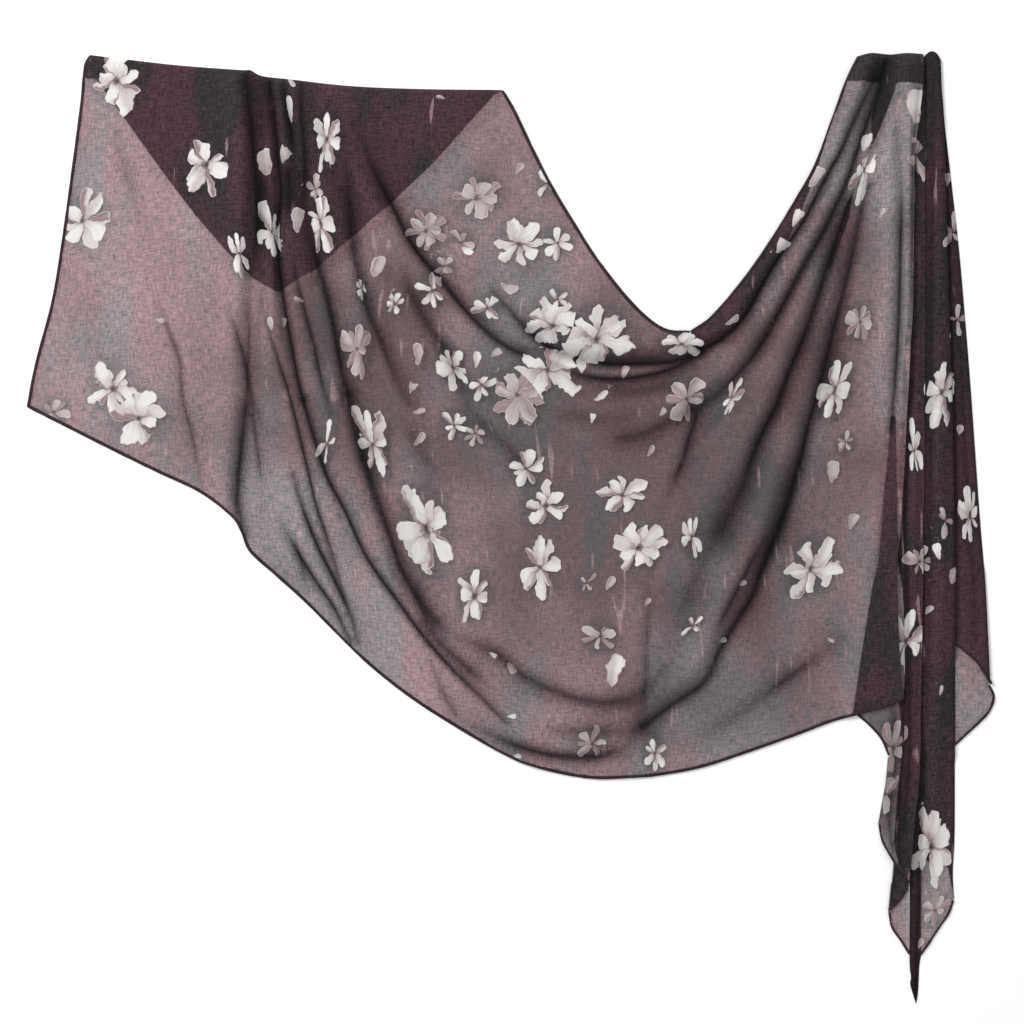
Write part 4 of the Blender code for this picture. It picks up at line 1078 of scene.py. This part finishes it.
front_edges = {
    "top_outer": Edge("fold", [
        (90, 55), (135, 60.5), (180, 65.5), (240, 70), (250, 70), (262, 76), (287, 79)]),
    "top_inner": Edge("fold", [(287, 79), (350, 86), (420, 89), (503, 90)]),
    "scoop_outer": Edge("hem", [
        (503, 90), (515, 110), (534, 150), (552, 185), (576, 225), (600, 262), (635, 305), (664, 328),
        (690, 331)]),
    "scoop_inner": Edge("hem", [
        (690, 331), (711, 316), (742, 280), (770, 240), (794.5, 200), (814, 165), (831, 120), (845.5, 80),
        (857, 56.5)]),
    "bunch_top": Edge("fold", [(857, 56.5), (871, 53), (890, 54.5), (907, 53), (923, 54)]),
    "right": Edge("loose", [
        (923, 54), (921, 95), (914, 150), (913, 185), (912, 300), (909, 350), (905, 443), (899.5, 532),
        (897, 560), (897, 601), (900, 671), (904, 699)]),
    "lower_inner": Edge("hem", [
        (904, 699), (889, 706), (858, 714.5), (830, 722.5), (800, 734), (745, 753.5), (700, 768), (655, 776),
        (628, 778)]),
    "lower_middle": Edge("hem", [(628, 778), (600, 779), (575, 776.5), (545, 770), (519, 762)]),
    "lower_outer": Edge("hem", [
        (519, 762), (490, 747), (450, 723.5), (410, 697.5), (370, 666), (335, 632), (305, 602), (275, 575),
        (250, 552), (241, 532), (231, 516), (200, 492.5), (160, 473.5), (130, 459), (80, 434), (27, 407)]),
    "side": Edge("hem", [
        (27, 407), (35, 365), (52, 300), (62, 240), (70, 183), (80, 107), (84, 68), (90, 55)]),
}
OUTER_LINE = [(287, 79), (294, 110), (296, 157), (310, 202), (318, 277), (330, 330), (345, 377), (359, 426),
              (371, 475), (386, 520), (398, 565), (430, 622), (457, 659), (485, 697), (508, 738), (519, 762)]
INNER_LINE = [(690, 331), (699, 367), (694, 414), (686, 445), (671, 490), (660, 540), (651, 581), (647, 622),
              (644, 683), (640, 728), (628, 778)]

# The folds: how far each lifts the cloth beside it and within what reach, how far it dips along its
# own line and how wide, and the shares of its strength at its two ends.
Fold = namedtuple("Fold", "lift reach dip trough start end route")
FOLDS = [Fold(*row) for row in [
    (0.9, 22, 0.90, 9.0, 0.9, 1.0, [
        (250, 71), (254, 120), (255, 163), (251, 294), (246, 340), (244, 421), (239, 480), (245, 538)]),
    (0.9, 18, 0.95, 7.0, 1.0, 0.4, [
        (268, 80), (274, 108), (279, 183), (280, 261), (287, 326), (300, 382), (317, 447)]),
    (0.9, 24, 0.85, 9.0, 1.0, 0.5, OUTER_LINE),
    (0.6, 20, 0.80, 8.0, 0.8, 0.2, [
        (262, 84), (266, 150), (266, 230), (262, 330), (262, 400), (270, 470)]),
    (0.5, 17, 0.80, 6.0, 0.3, 0.4, [
        (300, 377), (333, 480), (351, 531), (392, 594), (452, 666), (498, 712)]),
    (0.5, 14, 0.80, 6.0, 0.3, 0.4, [(292, 485), (308, 519), (329, 563), (347, 609), (358, 641)]),
    (0.5, 14, 0.80, 6.0, 0.3, 0.5, [(280, 519), (296, 549), (310, 574), (329, 602), (345, 628)]),
    (0.4, 14, 0.75, 6.0, 0.3, 0.2, [(315, 503), (329, 537), (338, 567), (349, 595)]),
    (0.7, 22, 0.75, 9.0, 0.7, 0.2, [
        (310, 88), (326, 130), (343, 183), (359, 229), (369, 277), (375, 345), (392, 392), (437, 457)]),
    (0.7, 22, 0.75, 9.0, 0.8, 0.4, [
        (322, 90), (347, 125), (379, 184), (407, 232), (443, 285), (498, 333), (540, 356)]),
    (0.5, 22, 0.70, 9.0, 0.2, 0.2, [
        (396, 290), (408, 313), (434, 353), (470, 392), (512, 418), (570, 430)]),
    (0.3, 20, 0.70, 8.0, 0.2, 0.4, [(160, 290), (178, 343), (180, 400), (190, 433), (201, 484)]),
    (0.2, 20, 0.60, 8.0, 0.3, 0.2, [(118, 130), (140, 200), (156, 262), (165, 300)]),
    (0.9, 22, 0.90, 10.0, 0.3, 1.0, [
        (480, 280), (522, 323), (561, 348), (607, 368), (664, 362), (721, 342), (760, 298), (798, 235),
        (829, 186), (854, 129), (875, 83), (881, 60)]),
    (0.5, 15, 0.80, 8.0, 0.3, 0.3, [(572, 373), (620, 384), (675, 377), (712, 362)]),
    (0.4, 20, 0.70, 8.0, 0.2, 0.2, [(602, 401), (647, 395), (690, 380)]),
    (0.9, 21, 0.90, 8.0, 0.3, 1.0, [
        (614, 436), (660, 428), (701, 408), (744, 368), (768, 336), (801, 284), (827, 221), (844, 188),
        (863, 135), (873, 96), (885, 64)]),
    (0.9, 21, 0.90, 9.0, 0.3, 0.9, [
        (710, 547), (729, 497), (746, 471), (772, 414), (796, 352), (817, 292), (836, 242), (852, 196),
        (875, 150), (889, 100), (894, 62)]),
    (1.0, 24, 0.90, 11.0, 0.6, 0.6, [
        (643, 728), (671, 705), (706, 671), (733, 622), (761, 568), (783, 508), (805, 440), (827, 362),
        (846, 280), (856, 240), (863, 192)]),
    (0.8, 18, 0.85, 8.0, 0.9, 0.8, [(899, 100), (902, 170), (902, 250), (900, 300), (896, 380)]),
    (0.3, 15, 0.70, 8.0, 0.2, 0.2, [(694, 449), (716, 427), (735, 404)]),
    (0.4, 18, 0.80, 8.0, 0.6, 0.4, INNER_LINE),
    (0.4, 17, 0.70, 8.0, 0.2, 0.2, [(729, 662), (706, 682), (684, 698)]),
    (0.3, 17, 0.70, 8.0, 0.2, 0.2, [(814, 650), (792, 673), (772, 690)]),
    (0.4, 21, 0.70, 9.0, 0.2, 0.2, [(470, 640), (487, 654), (521, 673), (562, 688)]),
    (0.3, 15, 0.70, 8.0, 0.2, 0.2, [(475, 728), (505, 739), (533, 751), (560, 757)]),
]]
# The creases' painted shade, partly for the cloth lying thicker there, and the painted highlight of the
# ridges between them.
CREASES = [Crease(*row) for row in [
    (0.9, 7, 4, 0.8, 0.3, [
        (246, 74), (249, 100), (252, 130), (255, 165), (257, 200), (257, 235), (254, 265), (251, 290)]),
    (0.8, 8, 6, 0.2, 0.2, [(259, 165), (261, 190), (261, 215), (258, 245)]),
    (0.4, 9, 9, 0.9, 0.2, [(262, 84), (262, 120), (261, 150)]),
    (0.97, 3.5, 4, 0.9, 1.0, [
        (270, 84), (274, 112), (277, 140), (279, 165), (282, 190), (280, 215), (278, 240), (280, 265),
        (283, 292), (287, 320), (292, 348), (298, 378), (303, 400)]),
    (0.85, 8, 5, 0.2, 0.2, [(286, 160), (289, 180), (290, 200), (287, 222)]),
    (0.8, 3, 3, 0.7, 0.3, [(283, 86), (288, 110), (292, 135), (297, 160)]),
    (0.85, 3, 3.5, 0.3, 0.4, [
        (294, 262), (299, 285), (305, 310), (311, 332), (316, 352), (320, 372), (326, 395), (332, 415)]),
    (0.8, 5, 4, 0.8, 0.3, [(301, 84), (302, 110), (304, 140), (306, 165), (305, 190), (303, 215)]),
    (0.95, 7, 5, 0.4, 0.9, [
        (306, 215), (313, 245), (320, 272), (326, 295), (332, 320), (337, 345), (341, 370), (347, 395)]),
    (0.8, 8, 5, 0.3, 0.5, [
        (341, 140), (347, 180), (351, 220), (353, 245), (357, 268), (364, 297), (371, 320), (380, 340),
        (390, 365), (399, 386), (410, 405)]),
    (-0.25, 7, 7, 0.2, 0.2, [(350, 135), (360, 172), (372, 210), (385, 238), (398, 262)]),
    (0.95, 8, 4.5, 0.3, 0.9, [
        (356, 125), (366, 150), (376, 175), (386, 195), (396, 214), (405, 233), (416, 251), (430, 268),
        (444, 284), (457, 301), (475, 321), (498, 342), (520, 354)]),
    (0.75, 7, 8, 0.2, 0.3, [
        (400, 262), (409, 287), (420, 310), (433, 332), (447, 352), (458, 375), (468, 400)]),
    (0.75, 3, 3.5, 0.3, 0.5, [(231, 312), (239, 338), (245, 362), (250, 388), (256, 412)]),
    (0.7, 5, 4, 0.5, 0.9, [(248, 300), (249, 330), (248, 365), (247, 395), (245, 415)]),
    (0.92, 7, 6, 0.6, 0.9, [(246, 405), (241, 450), (237, 500), (243, 536)]),
    (0.6, 2.5, 2.5, 0.5, 0.2, [(252, 402), (257, 440), (263, 485)]),
    (0.95, 2.6, 2.6, 0.3, 0.4, [
        (262, 300), (268, 325), (275, 348), (282, 370), (289, 392), (295, 415), (301, 440), (308, 470),
        (317, 507), (328, 540), (337, 570), (346, 603)]),
    (0.97, 4.5, 2.4, 1.0, 0.7, [
        (303, 400), (315, 441), (328, 479), (345, 511), (360, 545), (374, 569), (398, 602), (423, 636),
        (450, 667), (479, 695), (505, 722)]),
    (0.97, 4.5, 2.6, 0.5, 0.6, [(292, 474), (306, 518), (319, 549), (332, 575), (350, 614), (358, 643)]),
    (0.95, 2.6, 4, 0.2, 0.7, [(279, 516), (297, 550), (315, 579), (335, 608), (351, 642)]),
    (0.5, 2, 3, 0.2, 0.3, [(296, 537), (302, 562), (307, 590)]),
    (0.93, 11, 6, 0.9, 0.8, [
        (347, 395), (358, 441), (373, 491), (389, 534), (401, 569), (419, 600), (436, 623)]),
    (0.75, 7, 7, 0.8, 0.2, [(424, 622), (443, 645), (464, 665), (490, 687)]),
    (0.7, 9, 5, 0.2, 0.5, [(410, 580), (419, 603), (432, 628)]),
    (0.4, 7, 8, 0.3, 0.3, [(460, 399), (490, 430), (514, 455), (531, 481)]),
    (0.35, 8, 8, 0.2, 0.2, [(405, 415), (420, 450), (440, 480)]),
    (0.75, 7, 9, 0.3, 0.4, [
        (440, 628), (470, 641), (500, 655), (522, 675), (553, 690), (590, 701), (627, 700), (649, 686),
        (663, 666)]),
    (0.4, 4, 3, 0.2, 0.5, [(427, 654), (442, 689), (457, 716)]),
    (0.3, 3, 3, 0.2, 0.6, [(434, 681), (450, 705), (460, 721)]),
    (0.9, 8, 8, 0.4, 0.3, [(475, 726), (505, 741), (538, 752), (575, 757), (615, 752), (641, 734)]),
    (0.5, 8, 8, 0.2, 0.6, [(530, 722), (560, 731), (595, 730), (627, 731), (646, 724)]),
    (0.96, 5.5, 4, 0.6, 1.0, [
        (494, 294), (510, 311), (524, 327), (548, 347), (572, 357), (605, 364), (640, 364), (672, 362),
        (700, 352)]),
    (0.5, 12, 5, 0.3, 0.5, [(545, 345), (575, 353), (610, 359), (650, 358), (690, 350)]),
    (0.97, 3.5, 5.5, 1.0, 0.7, [
        (700, 351), (716, 343), (733, 330), (750, 308), (762, 285), (776, 262), (790, 241), (805, 218),
        (819, 190), (829, 171), (840, 152), (848, 133), (857, 113), (866, 95), (874, 78)]),
    (-0.25, 4, 4, 0.2, 0.2, [(552, 361), (580, 368), (612, 372), (648, 369), (680, 362)]),
    (0.95, 3, 5, 0.4, 0.9, [(556, 365), (579, 375), (615, 379), (649, 375), (676, 367), (700, 353)]),
    (0.45, 7, 8, 0.2, 0.2, [(590, 387), (628, 391), (662, 386), (693, 374)]),
    (0.3, 8, 8, 0.2, 0.2, [(545, 408), (580, 418), (615, 419), (650, 410)]),
    (0.6, 7, 9, 0.2, 1.0, [(600, 440), (640, 435), (668, 422), (690, 411)]),
    (0.85, 6, 3, 0.4, 0.2, [(703, 396), (691, 430), (682, 460), (668, 495)]),
    (0.95, 6, 7, 0.6, 1.0, [
        (684, 413), (710, 401), (732, 380), (753, 356), (770, 328), (785, 300), (800, 272), (812, 251),
        (823, 232), (834, 209), (843, 190), (850, 172), (857, 150), (864, 130), (871, 110), (877, 90),
        (884, 64)]),
    (-0.2, 7, 7, 0.2, 0.2, [(712, 422), (742, 392), (768, 362), (789, 325), (806, 290)]),
    (0.96, 7, 9, 0.6, 0.8, [
        (722, 530), (734, 503), (742, 487), (750, 462), (761, 434), (776, 406), (789, 371), (800, 345),
        (808, 325), (817, 298), (825, 272), (833, 246), (841, 222), (848, 202)]),
    (0.5, 14, 16, 0.3, 0.7, [(672, 640), (685, 608), (697, 575), (710, 545), (724, 512), (738, 488)]),
    (-0.2, 9, 9, 0.2, 0.2, [(722, 590), (742, 550), (757, 512), (770, 475), (783, 430), (795, 390)]),
    (0.95, 7, 7, 0.9, 0.8, [
        (642, 727), (672, 704), (704, 682), (719, 651), (735, 623), (751, 598), (761, 571), (777, 533),
        (789, 500), (801, 456), (808, 424), (818, 390), (826, 358), (834, 325), (841, 300), (847, 275),
        (853, 250), (858, 225), (862, 205), (866, 188)]),
    (0.65, 15, 5, 0.2, 0.2, [(750, 596), (771, 548), (785, 508), (796, 470), (804, 432)]),
    (0.8, 4, 4, 0.2, 0.5, [(712, 640), (724, 615), (738, 588), (752, 560), (764, 540)]),
    (0.35, 8, 8, 0.3, 0.4, [(816, 430), (826, 392), (834, 360), (843, 325), (850, 290)]),
    (-0.2, 9, 10, 0.2, 0.3, [(880, 420), (881, 350), (883, 280), (885, 200), (889, 140)]),
    (0.93, 3, 4, 0.1, 0.8, [
        (900, 150), (901, 200), (900, 245), (899, 300), (897, 345), (894, 390), (890, 430)]),
    (0.8, 3, 2.5, 0.6, 0.3, [
        (918, 90), (915, 120), (912, 150), (911.5, 190), (911, 240), (911, 300), (908, 350)]),
    (0.5, 3, 4, 0.3, 0.5, [(767, 693), (782, 682), (797, 671), (815, 658)]),
    (0.4, 10, 8, 0.2, 0.6, [(690, 745), (740, 712), (790, 676), (840, 640)]),
    (0.45, 3, 4, 0.4, 0.4, [(649, 590), (647, 640), (645, 690), (643, 722)]),
    (0.6, 2.5, 3, 0.3, 0.4, [(158, 300), (171, 335), (180, 360), (183, 400), (192, 433), (202, 484)]),
    (0.25, 8, 6, 0.2, 0.2, [(110, 120), (126, 170), (138, 215)])
]]


def share_of(fold, points):
    """A fold's distance from each point, and its strength there."""
    gap, share, _ = beside(points, curve_through(on_plan(fold.route), COARSE_STEP))
    return gap, fading(share, fold.start, fold.end)


def gathers(points):
    """How far the front's folds raise it, with the small dips of its creases."""
    raised = np.zeros(len(points))
    dipped = np.ones(len(points))
    for fold in FOLDS:
        gap, fade = share_of(fold, points)
        raised += fold.lift * fade * np.exp(-(gap / fold.reach) ** 2)
        dipped *= 1 - fold.dip * fade * np.exp(-(gap / fold.trough) ** 2)
    hemmed = [key for key in front_edges if KINDS[key] == "hem"]
    near_hem = np.min([beside(points, LINES[key])[0] for key in hemmed], axis=0)
    hem_share = EDGE_SHARE + (1 - EDGE_SHARE) * smooth(near_hem / EDGE_REACH)
    raised = CREST * (1 - np.exp(-raised)) * dipped * hem_share
    return raised * (1 - 0.5 * np.clip(crease_shade(points, CREASES), 0, 1))


FRONT_LIES_ON = ["corner_flap", "turned_top", "left_tail", "narrow_panel"]
FOLDED_EDGES = ["top_outer", "top_inner", "bunch_top"]
STEP_DOWN = 3.2         # millimetres over which the front comes down to the table at them


def front_parts(points):
    """The front's rest height and how far it is raised."""
    gap = np.min([beside(points, LINES[key])[0] for key in FOLDED_EDGES], axis=0)
    rest = rest_height(points, FRONT_LIES_ON) * smooth(gap / STEP_DOWN)
    return rest, gathers(points) * smooth(gap / PLEAT_ROLL_DOWN)


def front_low(points):
    """The height of the front's underside."""
    rest, raised = front_parts(points)
    return rest + raised


def front_height(points):
    """The height of the front's upper face."""
    rest, raised = front_parts(points)
    soft = crumple(points, 34.0, 0.9) * smooth(raised / 2.0 + 0.25)
    edge = rounded(points, FOLDED_EDGES)
    return rest + 0.15 + (FRONT_WALL + raised + soft) * edge


rim = rim_of("front", front_edges)
fine = [crease for crease in CREASES if min(crease.left, crease.right) < FINE_CREASE]
crease_lines = [curve_through(on_plan(row.route), 1.7) for row in FOLDS + fine]
front, flat = cloth_mesh("front", rim, 2.8, front_height, crease_lines)

# Where the front is dark because cloth lies doubled in it or under it.
DOUBLED = [
    [(80, 50), (250, 62), (300, 70), (520, 82), (494, 96), (464, 129), (434, 163), (394, 202), (349, 241),
     (316, 270), (278, 293), (254, 279), (228, 253), (196, 216), (165, 175), (140, 140), (120, 112), (97, 80),
     (82, 78)],
    [(890, 416), (887, 457), (883.7, 490), (878, 560), (871, 590), (861, 653), (853, 708), (850, 722),
     (915, 705), (905, 671), (902, 601), (902, 560), (897, 530), (896, 470), (895, 416)],
    [(840, 48), (930, 48), (930, 86), (900, 84.5), (846, 82)],
    [(690, 331), (711, 316), (742, 280), (770, 240), (794, 200), (812, 165), (822, 146), (817, 172),
     (808, 193), (800, 213), (790, 234), (778, 259), (764, 283), (750, 309), (733, 330), (716, 343),
     (700, 351), (692, 345)],
    [(885, 50), (900, 50), (897, 78), (893, 95), (886, 113), (879, 130), (869, 152), (871, 116),
     (876, 96), (882, 70)],
    [(854, 188), (848, 220), (840, 243), (833, 262), (826, 280), (829, 258), (836, 236), (844, 210)],
]
doubled = np.max([zone(flat, corners) for corners in DOUBLED], axis=0)
# The front's colour takes the painted shade of its creases and the painted highlight of its ridges.
dress(front, flat, SHEER_CLOTH, crease_shade(flat, CREASES), doubled, BLOSSOMS, PETALS, 0.0)
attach(front, "root")
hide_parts("front_outer", "front_swag", "front_gather")

# The rolled hem round the front's side, its lower edge and the scoop between the gathers.
for key in ("side", "lower_outer", "lower_middle", "lower_inner", "scoop_outer", "scoop_inner"):
    rolled_hem(key, front_low, trim=0.0)
